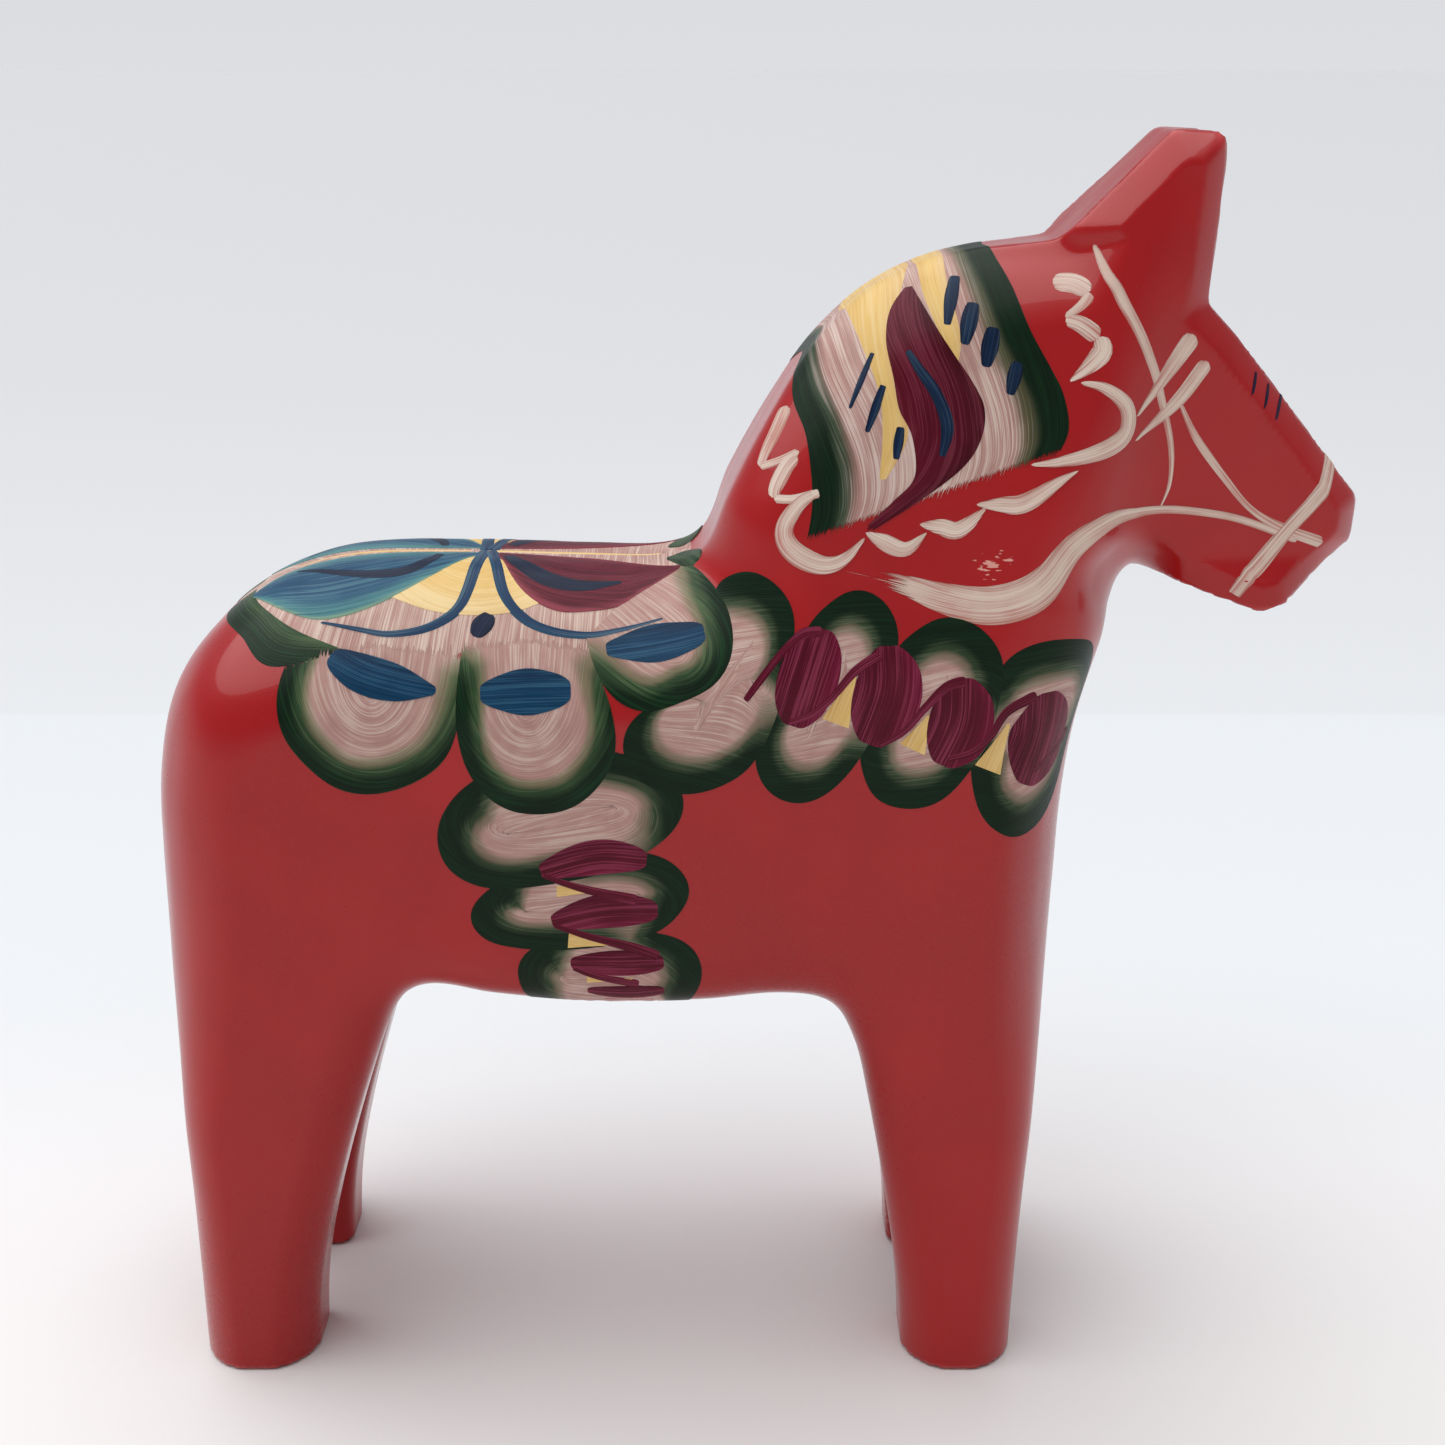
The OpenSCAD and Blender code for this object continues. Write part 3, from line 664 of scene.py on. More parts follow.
def lacquer(colours):
    """Red oil paint under lacquer: the colour drifts a little over the wood, knife facets and a faint
    grain show as relief, the red is paler along the edges, partly paint worn thin and partly a painted
    highlight, with small chips there, and the neck has a scuff."""
    f = Finish("red_lacquer")
    place = f.place()
    edge = Value(f, f.attribute("edge").outputs["Fac"])
    drift = f.noise(place, 14.0, 3.0)
    cloud = f.noise(place, 60.0, 3.0)
    fine = f.noise(place, 900.0, 2.0)
    facets = f.noise(f.place((1.0, 1.0, 0.45)), 62.0, 1.0)
    scratches = f.noise(f.place((0.5, 1.0, 1.6)), 900.0, 2.0)
    from_scuff = f.node("ShaderNodeVectorMath", {"operation": "DISTANCE"}, {0: place, 1: NECK_SCUFF})
    scuffed = 1.0 - Value(f, from_scuff.outputs["Value"]).between(SCUFF_CORE, SCUFF_REACH)
    thick = (drift + cloud * 0.4 - 0.35).between(0.0, 0.8)
    # painted highlight along the edges, together with paint worn thin there: where the carving is sharp the
    # red turns paler
    rubbed = (edge * (0.55 + cloud * 0.9)).between(0.5, 1.15)
    chips = (f.noise(place, 210.0, 3.0, 0.6) + edge * 0.22).between(0.86, 0.88)
    red = f.mix(thick, linear(*colours["red_deep"]), linear(*colours["red"]))
    # paler red on the edges: painted highlight and wear in one
    red = f.mix(rubbed * 0.45, red, linear(*colours["red_rubbed"]))
    red = f.mix(chips, red, linear(*colours["chip"]))
    red = f.mix((scratches + scuffed * 0.26).between(0.8, 0.84), red, linear(*colours["chip"]))
    rough = 0.22 + drift * 0.08 + fine * 0.05 + chips * 0.3
    return f.shine(red, rough, [(facets, 0.001), (fine, 0.000003)], coat=0.36, coat_roughness=0.05,
                   gloss=0.25)


def pine(colours):
    """Bare pine on the soles: end grain in dark and pale bands, from a sine of the distance across them,
    with fine pores and the scuffs of standing on a table."""
    f = Finish("bare_pine")
    place = f.place()
    x, y, _ = f.parts(place)
    warp = f.noise(place, 40.0, 2.0)
    rings = ((x + y * 2.6 + warp * 0.004) * 2600.0).math("SINE") * 0.5 + 0.5
    pores = f.noise(place, 1800.0, 2.0)
    scuff = f.noise(place, 90.0, 3.0)
    wood = f.mix(rings.between(0.25, 0.95), linear(*colours["pine"]), linear(*colours["pine_late"]))
    wood = f.mix(scuff.between(0.55, 0.75) * 0.45, wood, linear(*colours["pine_scuffed"]))
    return f.shine(wood, 0.62 + pores * 0.2, [(rings, 0.00008), (pores, 0.00005)])


def brushed(name, stops, pale, dark, streaks=0.35, wobble=0.12, fray=False):
    """Oil colour laid with a flat brush. Stops are colours across the stroke, and wobble is how far the
    bristles shift them; bristles draw fine lines along it, paler and darker, as strong as streaks, and
    leave ridges. pale may be stops as well, so that each colour has its own lines; dark then is the share
    of each channel that is left. With fray, the coat shows between the lines where the brush runs dry."""
    f = Finish(name)
    along, across, seed = f.parts(f.attribute("bristle").outputs["Vector"])
    share, tail, _ = f.parts(f.attribute("blend").outputs["Vector"])
    hairs = f.noise(f.vector(along * 0.04, across * 3.5, seed * 9.3), 1.0, 2.0, 0.6)
    strands = f.noise(f.vector(along * 0.03, across * 0.8, seed * 5.1), 1.0, 2.0)
    patches = f.noise(f.vector(along * 0.12, across * 0.14, seed * 3.3), 1.0, 2.0)
    place = share + (strands - 0.5) * wobble + (hairs - 0.5) * (wobble * 0.7)
    colour = f.ramp(place, [(at, linear(*c)) for at, c in stops])
    lines = [(at, linear(*c)) for at, c in pale] if isinstance(pale, list) else None
    light = (hairs * 0.8 + strands * 0.5 + patches * 0.2 - 0.25).between(0.47, 0.64)
    colour = f.mix(light * streaks, colour, f.ramp(place, lines) if lines else linear(*pale))
    deep = (1.25 - hairs * 0.8 - strands * 0.3 - patches * 0.4).between(0.5, 0.68)
    if lines:
        colour = f.mix(deep * streaks, colour, (*dark, 1.0), "MULTIPLY")
    else:
        colour = f.mix(deep * streaks * 0.8, colour, linear(*dark))
    alpha = 1.0
    if fray:
        alpha = 1.0 - (tail * 1.15 + (hairs - 0.5) * 2.2 * tail).between(0.62, 0.7)
    rough = 0.3 + hairs * 0.16
    ridges = [(hairs * 0.7 + strands * 0.4, 0.00016)]
    return f.shine(colour, rough, ridges, coat=0.03, coat_roughness=0.12, alpha=alpha, gloss=0.13)


# --- the add-on ------------------------------------------------------------------------------------

def colour_setting(name, description, rgb):
    """A colour that the user can change, from 0 to 255 a channel."""
    return FloatVectorProperty(name=name, description=description, subtype="COLOR", size=3, min=0, max=1,
                               default=tuple(v / 255 for v in rgb))


class HorseColours(bpy.types.PropertyGroup):
    """Paint colours, as they look in daylight."""
    red: colour_setting("Red", "Red oil paint of the coat", (170, 12, 15))
    red_deep: colour_setting("Deep red", "Where the red is thicker", (152, 6, 10))
    # Paler red for the edges: paint worn thin there, and a painted highlight on the edges
    red_rubbed: colour_setting("Rubbed red", "Red rubbed thin along the edges", (200, 70, 68))
    chip: colour_setting("Chip", "Primer in the small chips", (214, 150, 138))
    pine: colour_setting("Pine", "Early wood of the soles", (222, 186, 134))
    pine_late: colour_setting("Late pine", "Late wood of the soles", (178, 124, 72))
    pine_scuffed: colour_setting("Scuffed pine", "Wood scuffed on the soles", (150, 118, 88))
    green: colour_setting("Dark green", "Outer edge of the scallops", (8, 30, 14))
    leaf_green: colour_setting("Leaf green", "Where the green meets the pink", (42, 66, 40))
    pink: colour_setting("Pink", "Middle of the scallops", (176, 138, 130))
    cream: colour_setting("Cream", "White strokes of mane and bridle", (206, 180, 166))
    yellow: colour_setting("Yellow", "Stripes and wedges", (222, 186, 116))
    teal: colour_setting("Teal", "Edge of the rear petal", (84, 136, 134))
    blue: colour_setting("Blue", "Rear petal and dabs", (8, 54, 86))
    navy: colour_setting("Navy", "Dark hearts and dabs", (10, 22, 46))
    crimson: colour_setting("Crimson", "Front petal, drop and scrolls", (84, 8, 30))


class HorseSizes(bpy.types.PropertyGroup):
    """Sizes of the finish and of the mesh."""
    coat: FloatProperty(name="Coat", description="Thickness of the red coat", default=0.0005, unit="LENGTH")
    layer: FloatProperty(name="Layer", description="Rise of one layer of colour", default=0.00003,
                         unit="LENGTH")
    cell: FloatProperty(name="Cell", description="Spacing of the coat's mesh", default=0.00125,
                        unit="LENGTH")


def colours():
    """The user's colours by name, from 0 to 255 a channel."""
    group = bpy.context.scene.horse_colours
    return {key: tuple(v * 255 for v in getattr(group, key)) for key in HorseColours.__annotations__}


FIRST_LAYER = 0.06                    # millimetres above the coat


def level(number):
    """Height above the coat of the layer with that number, in millimetres."""
    return FIRST_LAYER + bpy.context.scene.horse_sizes.layer / MM * number


SOLE_ROUND = 0.5
COAT_STOP = 0.35                      # height above the floor where the coat ends
PINE_CELL = 2.2                       # spacing of the carved body's mesh
EDGE_REACH = 2.3                      # how far round a point its sharpness is felt
EDGE_FULL = 4.3                       # the sum of values at a fully sharp edge


def soled(grow, floor):
    """The carving grown by so much and cut flat at a height above the floor, with the cut's edge rounded."""
    def solid(x, y, z):
        return soft_max(carving(x, y, z) - grow, floor - z, SOLE_ROUND)
    return solid


class HORSE_OT_wood(bpy.types.Operator):
    """Carved pine body inside the coat, which shows at the soles"""
    bl_idname = "horse.wood"
    bl_label = "Carved body"

    def execute(self, context):
        solid = soled(-context.scene.horse_sizes.coat / MM, 0.0)
        points, quads = net(solid, PINE_CELL)
        points, normals = onto(solid, points, 3)
        piece = make_piece("pine_body", points, outward(points, quads, normals), normals)
        settle(piece, "carved_body", pine(colours()))
        return {"FINISHED"}


class HORSE_OT_coat(bpy.types.Operator):
    """Red coat over the whole carving, down to just above the soles. Its edge attribute is how sharp the
    carving is at a point: the solid's values a short way off along each axis, added up"""
    bl_idname = "horse.coat"
    bl_label = "Red coat"

    def execute(self, context):
        solid = soled(0.0, COAT_STOP)
        points, quads = net(solid, context.scene.horse_sizes.cell / MM)
        points, normals = onto(solid, points, 4)
        edge = sum(solid(*(points + EDGE_REACH * way).T) for way in (*np.eye(3), *-np.eye(3)))
        piece = make_piece("coat_of_red", points, outward(points, quads, normals), normals,
                           {"edge": np.clip(edge / EDGE_FULL, 0, 1)})
        settle(piece, "red_coat", lacquer(colours()))
        return {"FINISHED"}


class HORSE_OT_saddle(bpy.types.Operator):
    """Saddle cloth: ground, fan, petals with their hearts, lines, scallops and dabs"""
    bl_idname = "horse.saddle"
    bl_label = "Saddle cloth"

    def execute(self, context):
        c = colours()
        pink = brushed("saddle_pink", [(0, c["pink"]), (0.5, (190, 158, 146)), (1, c["pink"])],
                       (226, 208, 192), (150, 96, 88), 0.6)
        left = [(-102, 0, 158), (-101, 9, 158), (-98, 17, 158), (-92, 25, 157), (-86, 29, 156)]
        back = [(-78, 33, 152), (-67, 34, 150.5), (-57, 33, 153), (-53, 31, 157), (-49, 33, 152),
                (-41, 35, 149.5), (-33, 34, 151.5), (-28, 31, 157), (-14, 26, 161), (-9, 19, 166)]
        near = [*left, *back]
        middle = [(p[0], 0, 168) for p in near]
        ground = leaf(near, middle, level(1), 1.0, 26, rims=(1, 1, 1, 0))
        ground["bristle"] = ground["bristle"][:, [1, 0, 2]]
        painted("saddle_cloth", [ground], "saddle_ground", pink)

        scallop = [(0.0, c["pink"]),
                   (0.16, c["pink"]),
                   (0.34, (122, 112, 88)),
                   (0.5, c["leaf_green"]),
                   (0.72, c["green"])]
        lines = [(0.0, (214, 194, 182)), (0.2, (204, 180, 164)), (0.45, (98, 116, 80)), (0.8, (22, 62, 30))]
        green = brushed("scallop_green", scallop, lines, (0.78, 0.7, 0.68), 0.55, 0.16, True)
        rear = [(-86, 29, 156), (-88, 33, 149), (-87, 36, 142), (-83, 37, 136), (-77, 37, 131),
                (-70, 37, 130), (-63, 37, 132), (-57, 37, 136), (-54, 36, 142), (-53, 35, 150),
                (-53, 29, 158)]
        rim = leaf([(-97.5, 2, 161.5), (-95, 12, 161), (-90, 20, 160), (-84, 26, 159), (-75, 30, 156.5)],
                   [(-103, 2, 157), (-101, 12, 156.5), (-96, 21, 155.5), (-89.5, 29, 152.5),
                    (-75.5, 30, 156)],
                   level(2), 4.2, 12)
        rim["blend"][:, 0] = 0.5 + 0.35 * rim["blend"][:, 0]
        rim["blend"][:, 1] = 0
        painted("scallop_rear",
                [fan(rear, [(-70, 29, 159), (-70, 35, 151.5)], level(2.2), 2.0,
                     dark=[1, 1, 1, 1, 1, 1, 0.9, 0.8, 0.62, 0.5, 0.1], dry=7),
                 rim],
                "saddle_lobe_rear", green)
        middle_lobe = [(-53, 28, 159), (-54, 35, 150), (-54, 36, 142), (-52, 37, 134), (-47, 37, 128),
                       (-41, 37, 126), (-33, 37, 127), (-27, 37, 132), (-24, 37, 139), (-25, 35, 147),
                       (-28, 32, 154), (-30, 28, 159)]
        painted("scallop_middle",
                [fan(middle_lobe, [(-41, 28, 160), (-41, 36, 148.5)], level(4.4), 3.0,
                     dark=[0.1, 0.7, 1, 1, 1, 1, 1, 1, 0.9, 0.75, 0.5, 0.1], dry=7)],
                "saddle_lobe_middle", green)
        front_lobe = [(-30, 28, 159), (-28, 32, 153), (-24, 35, 148), (-18, 36, 146), (-11, 35, 148),
                      (-5, 34, 151), (-2, 32, 157), (-3, 27, 164), (-7, 19, 168), (-11, 11, 169)]
        painted("scallop_front",
                [fan(front_lobe, [(-24, 22, 164), (-14, 30, 157)], level(5.2), 4.0,
                     dark=[0.2, 0.6, 0.9, 1, 1, 1, 1, 0.9, 0.7, 0.4])],
                "saddle_lobe_front", green)
        painted("withers_dab",
                [ribbon([(-14, 3, 169), (-11.5, 8, 170), (-9, 14, 169.5)], [5, 6, 5], level(6), 5.0)],
                "withers_patch",
                brushed("withers_green", [(0, c["green"]), (0.6, c["leaf_green"]), (1, c["green"])],
                        (110, 130, 96), (10, 24, 12)))

        yellow = brushed("saddle_yellow", [(0, c["yellow"]), (1, (228, 198, 142))], (236, 216, 172),
                         (190, 146, 84), 0.4)
        arc = [(-68, 21, 165), (-60, 24, 163), (-51, 25, 162.5), (-43, 24, 163), (-37, 21, 165)]
        strip = ribbon([(-52, 0, 169), (-30, 0, 169), (-16, 0, 169)], [1.6, 1.8, 0.8], level(2.6), 6.5)
        strip_rear = ribbon([(-54, 0, 169), (-75, 0, 168.5), (-90, 0, 165.5)], [1.0, 1.6, 0.6], level(2.6),
                            6.9)
        strip["alone"] = strip_rear["alone"] = True
        painted("saddle_fan_yellow",
                [fan(arc, [(-51, 3, 169), (-51, 4, 169)], level(5.8), 6.0), strip, strip_rear],
                "saddle_fan", yellow)
        teal = brushed("petal_teal",
                       [(0, c["teal"]),
                        (0.1, (60, 112, 122)),
                        (0.3, (20, 66, 100)),
                        (0.75, (28, 76, 106)),
                        (0.93, (66, 120, 126)),
                        (1, (120, 150, 124))],
                       (92, 136, 144), (8, 36, 68), 0.45)
        outer = [(-52, 3, 169), (-59, 14, 168), (-67, 21, 165), (-75, 24, 162), (-82, 24, 161),
                 (-89, 19, 161), (-97, 9, 161)]
        inner = [(-52, 2, 169), (-65, 2, 169), (-80, 3, 168), (-91, 4, 165), (-97, 8, 161.5)]
        painted("petal_rear", [leaf(inner, outer, level(7), 7.0, 22)], "saddle_petal_rear",
                teal)
        crimson = brushed("petal_crimson",
                          [(0, (120, 36, 52)),
                           (0.15, c["crimson"]),
                           (0.85, c["crimson"]),
                           (1, (140, 60, 72))],
                          (128, 46, 62), (50, 4, 18), 0.4)
        outer = [(-49, 3, 169), (-45, 15, 167), (-41, 21, 165), (-36, 23.5, 163), (-31, 23.5, 162.5),
                 (-24, 22, 163), (-19, 18, 165), (-12, 13, 168.5)]
        inner = [(-49, 2, 169), (-40, 3, 169), (-29, 5, 168.5), (-21, 8, 168), (-12, 12, 168.5)]
        painted("petal_front", [leaf(inner, outer, level(7), 8.0, 20)], "saddle_petal_front",
                crimson)
        navy = brushed("navy_strokes", [(0, c["navy"]), (0.5, (12, 26, 52)), (1, c["navy"])], (40, 60, 86),
                       (6, 12, 26), 0.35)
        hearts = [ribbon([(-60, 3, 169), (-61.5, 8, 168.5), (-65, 13, 167.5), (-71, 14.5, 167),
                          (-79, 12.5, 166.5), (-89, 6, 166)],
                         [1.6, 3.4, 3.6, 2.8, 1.8, 0.5], level(8.4), 9.0),
                  ribbon([(-47, 4, 169), (-43.5, 10, 168), (-38, 15.5, 166.5), (-31, 17.5, 166),
                          (-23, 16, 166.3)],
                         [2.4, 4.4, 4.8, 3.4, 0.6], level(8.4), 9.5)]
        hearts.append(ribbon([(-48, 24.2, 162.8), (-49.6, 26.6, 161.2), (-51, 28.8, 159)], [2.4, 4.4, 2.2],
                             level(9), 12.0))
        painted("petal_hearts", hearts, "saddle_petal_hearts", navy)
        line = brushed("saddle_line_blue", [(0, c["blue"]), (0.5, (18, 50, 84)), (1, (30, 76, 102))],
                       (104, 132, 142), (8, 22, 50), 0.4)
        lines = [ribbon([(-51.5, 0, 169), (-52, 8, 169), (-53, 19, 166), (-55, 24, 163), (-60, 27, 160.5),
                         (-67, 28, 159.5), (-73, 27, 160), (-81, 25, 161)],
                        [3.2, 3.2, 3, 2.8, 2.2, 1.6, 1.1, 0.4], level(9), 10.0),
                 ribbon([(-50.5, 0, 169), (-48.5, 10, 168.5), (-46, 20, 165), (-42, 25, 162),
                         (-37, 27, 160), (-30, 28, 159.5), (-24, 27, 160), (-15, 25, 162)],
                        [3, 2.8, 2.8, 2.6, 2.2, 1.8, 1.2, 0.4], level(9.3), 11.0)]
        painted("saddle_u_lines", lines, "saddle_lines", line)
        blue = brushed("dab_blue", [(0, (8, 46, 74)), (0.5, c["blue"]), (1, (10, 56, 86))], (60, 106, 132),
                       (4, 26, 50), 0.4)
        dabs = [ribbon([(-78.5, 31, 156.5), (-72, 33.5, 153.5), (-65, 34.5, 151.5), (-57.5, 35, 150)],
                       [4, 7.8, 7, 1.2], level(9), 13.0),
                ribbon([(-50, 35, 149.5), (-41, 35, 150), (-32, 34.5, 150)], [3.6, 9.2, 5], level(9), 14.0),
                ribbon([(-26.5, 29, 156), (-17, 29, 158), (-7, 28.5, 160)], [2.6, 8.4, 4.6], level(9),
                       15.0)]
        painted("scallop_dabs", dabs, "saddle_dabs", blue)
        return {"FINISHED"}


def scallop_finish(name, c):
    """Very dark green rim, running through olive into pink."""
    stops = [(0.0, c["pink"]),
             (0.18, c["pink"]),
             (0.34, (124, 108, 92)),
             (0.48, (44, 62, 40)),
             (0.64, c["green"])]
    lines = [(0.0, (214, 196, 184)), (0.2, (200, 178, 164)), (0.42, (110, 112, 90)), (0.7, (14, 44, 22))]
    return brushed(name, stops, lines, (0.78, 0.7, 0.68), 0.55, 0.1)


def wave_finish(name, c):
    """Crimson of the scrolls, a little brighter along one side."""
    return brushed(name, [(0, (104, 14, 46)), (0.35, c["crimson"]), (1, (80, 6, 32))], (156, 62, 92),
                   (52, 4, 20), 0.45)


class HORSE_OT_collar(bpy.types.Operator):
    """Breast collar: four scallops on each flank, the crimson wave and its wedges"""
    bl_idname = "horse.collar"
    bl_label = "Breast collar"

    def execute(self, context):
        c = colours()
        finish = scallop_finish("collar_green", c)
        loops = [([(-6, 22, 168.5), (0, 27, 171.5), (6, 30, 169.5), (9.5, 32, 164.5), (9, 34, 157),
                   (7, 36, 148), (4, 37, 140), (0, 37, 134), (-9, 38, 130), (-17, 37.5, 131),
                   (-22, 37, 135), (-23, 37, 141), (-20, 36.5, 146), (-13, 35, 150), (-8, 33, 155),
                   (-6, 27, 163)],
                  [(-10, 37, 140), (2, 32, 160)],
                  [0.9, 1, 1, 1, 0.8, 0.3, 0.55, 0.95, 1, 1, 1, 1, 0.8, 0.5, 0.3, 0.6]),
                 ([(13, 33, 164), (20, 32, 169), (26, 32, 167), (29, 33, 161), (28, 34, 154), (26, 36, 146),
                   (22.5, 37, 138), (17, 37, 131), (11, 38, 128), (5, 38, 130), (2, 37, 136), (3, 37, 142),
                   (6, 36, 149), (9, 35, 157)],
                  [(12, 37, 140), (19, 33, 158)],
                  [1, 1, 1, 1, 0.8, 0.3, 0.5, 0.95, 1, 1, 1, 0.85, 0.35, 0.5]),
                 ([(30, 34, 160), (37, 33, 164), (44, 33, 162), (48.5, 34, 156), (48, 35, 149),
                   (46.5, 36, 141), (43, 37, 135), (38, 38, 129), (32, 38, 127), (25, 38, 129),
                   (22, 37, 136), (22, 37, 142), (24, 36, 149), (27, 35, 156)],
                  [(33, 37, 138), (38, 34, 153)],
                  [1, 1, 1, 1, 0.8, 0.3, 0.5, 0.95, 1, 1, 1, 0.85, 0.35, 0.5]),
                 ([(48, 34, 155), (52, 34, 158), (59, 31, 159), (67, 22, 156), (68, 20, 148), (67, 22, 138),
                   (65, 25, 128), (60.5, 30, 122), (52, 36, 120.5), (45.5, 37, 125), (43, 37, 133),
                   (43, 36, 140), (45, 35, 148)],
                  [(53, 36, 134), (58, 31, 148)], [1, 1, 1, 1, 0.6, 0.6, 0.95, 1, 1, 1, 1, 0.85, 0.4])]
        for i, (outline, pivot, dark) in enumerate(loops):
            patch = fan(outline, pivot, level(3.6 - 0.8 * i), 20.0 + i, True, dark)
            painted(f"collar_scallop_{i + 1}", [patch], f"collar_loop_{i + 1}", finish)
        ovals = [([(15, 33, 162), (12.5, 34.5, 154), (9, 36, 143)], 11.5),
                 ([(27, 34, 159), (27, 35.5, 150), (23.5, 37, 139.5)], 13),
                 ([(41.2, 35, 153), (40.8, 36, 144), (37.2, 37, 135.5)], 12.5),
                 ([(57, 31, 149.3), (57.3, 32, 140), (53.8, 34, 130.5)], 17)]
        joins = [[(0, 36, 148), (3, 35, 152), (7, 34, 157), (11, 33.5, 160.5), (15, 33, 161)],
                 [(8, 36, 144), (13, 36, 146), (17, 36, 149.5), (21, 35, 154), (26, 34, 157)],
                 [(25, 37, 139.5), (30, 36.5, 142.5), (34, 36, 147), (38, 36, 151), (42, 35, 152)],
                 [(38, 37, 137), (43, 36.5, 138.5), (46.5, 36, 141.5), (49.5, 35, 146), (55, 32, 148.8)],
                 [(55, 33, 133), (60, 28, 136), (64, 24, 139)]]
        wave = [ribbon(path, [0.5 * width, 0.87 * width, width, 0.87 * width, 0.5 * width], level(6.5),
                       30.0 + i)
                for i, (path, width) in enumerate(ovals)]
        wave += [ribbon(path, [1.4, 1.8, 1.8, 2.2, 2.8], level(6.8), 35.0 + i)
                 for i, path in enumerate(joins)]
        painted("collar_wave", wave, "collar_scroll", wave_finish("wave_crimson", c))
        tips = [((21, 35, 154), (17, 36, 143.5)),
                ((35, 36, 146), (31.5, 37, 138.5)),
                ((50, 35, 144), (46, 37, 134.5))]
        wedges = [ribbon(tip, [0.4, 3, 6], level(5.4), 41.0 + i, round_ends=False)
                  for i, tip in enumerate(tips)]
        painted("collar_yellow", wedges, "collar_wedges",
                brushed("wedge_yellow", [(0, c["yellow"]), (1, (206, 166, 100))], (226, 200, 150),
                        (176, 128, 68), 0.4))
        return {"FINISHED"}


class HORSE_OT_girth(bpy.types.Operator):
    """Girth: three scallops on each flank that meet under the belly, the crimson wave and its wedges"""
    bl_idname = "horse.girth"
    bl_label = "Girth"

    def execute(self, context):
        c = colours()
        finish = scallop_finish("girth_green", c)
        top = [(-54, 37, 131), (-58, 37, 125), (-58.5, 37, 119), (-56, 37, 114), (-50, 37, 111),
               (-43, 37, 111), (-36, 37, 112), (-27, 37, 114), (-19, 37, 118), (-13, 37, 123),
               (-11, 37, 129), (-15, 37, 135), (-27, 37, 139), (-42, 37, 138)]
        middle = [(-47, 37, 112.5), (-52, 37, 108), (-53, 37, 104), (-50, 37, 100), (-44, 37, 98.5),
                  (-36, 37, 98), (-26, 37, 99), (-17, 37, 101.5), (-12, 37, 106), (-10, 37, 111),
                  (-13, 37, 116), (-19, 37, 118.5), (-30, 37, 118), (-40, 37, 116)]
        bottom = [(-40, 37, 99.5), (-44, 37, 96), (-44, 36, 91), (-43, 32, 86), (-40, 22, 83),
                  (-34, 10, 82), (-26, 6, 82), (-18, 10, 82), (-13, 22, 82.5), (-10, 32, 86),
                  (-8, 36.5, 91), (-8, 37, 96), (-11, 37, 100), (-18, 37, 102), (-30, 37, 102)]
        girths = [("girth_scallop_top", "girth_loop_top", top, [(-45, 37, 122), (-25, 37, 128)], level(3.4),
                   [1, 1, 1, 1, 1, 0.8, 0.3, 0.5, 0.9, 1, 1, 0.8, 0.3, 0.5]),
                  ("girth_scallop_middle", "girth_loop_middle", middle, [(-42, 37, 106), (-20, 37, 110)],
                   level(2.4), [1, 1, 1, 1, 1, 0.7, 0.4, 0.8, 1, 1, 1, 0.9, 0.3, 0.4]),
                  ("girth_scallop_bottom", "girth_loop_bottom", bottom, [(-34, 35, 91), (-18, 35, 91)],
                   level(1.4), [1, 1, 1, 1, 0.8, 0.2, 0.1, 0.2, 0.8, 1, 1, 1, 0.9, 0.3, 0.3])]
        for i, (name, node, outline, pivot, height, dark) in enumerate(girths):
            painted(name, [fan(outline, pivot, height, 50.0 + i, True, dark)], node, finish)
        blobs = [([(-18, 37, 117), (-28, 37, 117.5), (-39.5, 37, 114.5)], 7.4),
                 ([(-16, 37, 106.5), (-27, 37, 106.3), (-37.5, 37, 104)], 7.4),
                 ([(-15, 37, 95.5), (-24, 37, 95.2), (-34, 37, 95.4)], 6),
                 ([(-15, 36, 88), (-23, 35.5, 87), (-31, 36, 88)], 5)]
        joins = [[(-39, 37, 114), (-34, 37, 112), (-29, 37, 110.5), (-20, 37, 108.5)],
                 [(-37, 37, 103.5), (-30, 37, 101), (-22, 37, 98.8), (-16, 37, 96.5)],
                 [(-33.5, 37, 94.5), (-28, 37, 92), (-20, 36.5, 90)]]
        wave = [ribbon(path, [0.5 * w, 0.9 * w, w, 0.8 * w, 0.35 * w], level(5.4), 60.0 + i)
                for i, (path, w) in enumerate(blobs)]
        wave += [ribbon(path, [1.2, 1.8, 2.4, 3.0], level(5.8), 65.0 + i) for i, path in enumerate(joins)]
        painted("girth_wave", wave, "girth_scroll", wave_finish("girth_crimson", c))
        tips = [((-28, 37, 110.5), (-36.5, 37, 110.5), 3.4),
                ((-25, 37, 99.3), (-34.5, 37, 100.2), 4),
                ((-21, 36.7, 91.6), (-31, 36.7, 91.4), 2.4)]
        wedges = [ribbon((a, b), [0.4, w * 0.5, w], level(4.4), 71.0 + i, round_ends=False)
                  for i, (a, b, w) in enumerate(tips)]
        painted("girth_yellow", wedges, "girth_wedges",
                brushed("girth_wedge_yellow", [(0, c["yellow"]), (1, (206, 166, 100))], (226, 200, 150),
                        (176, 128, 68), 0.4))
        return {"FINISHED"}


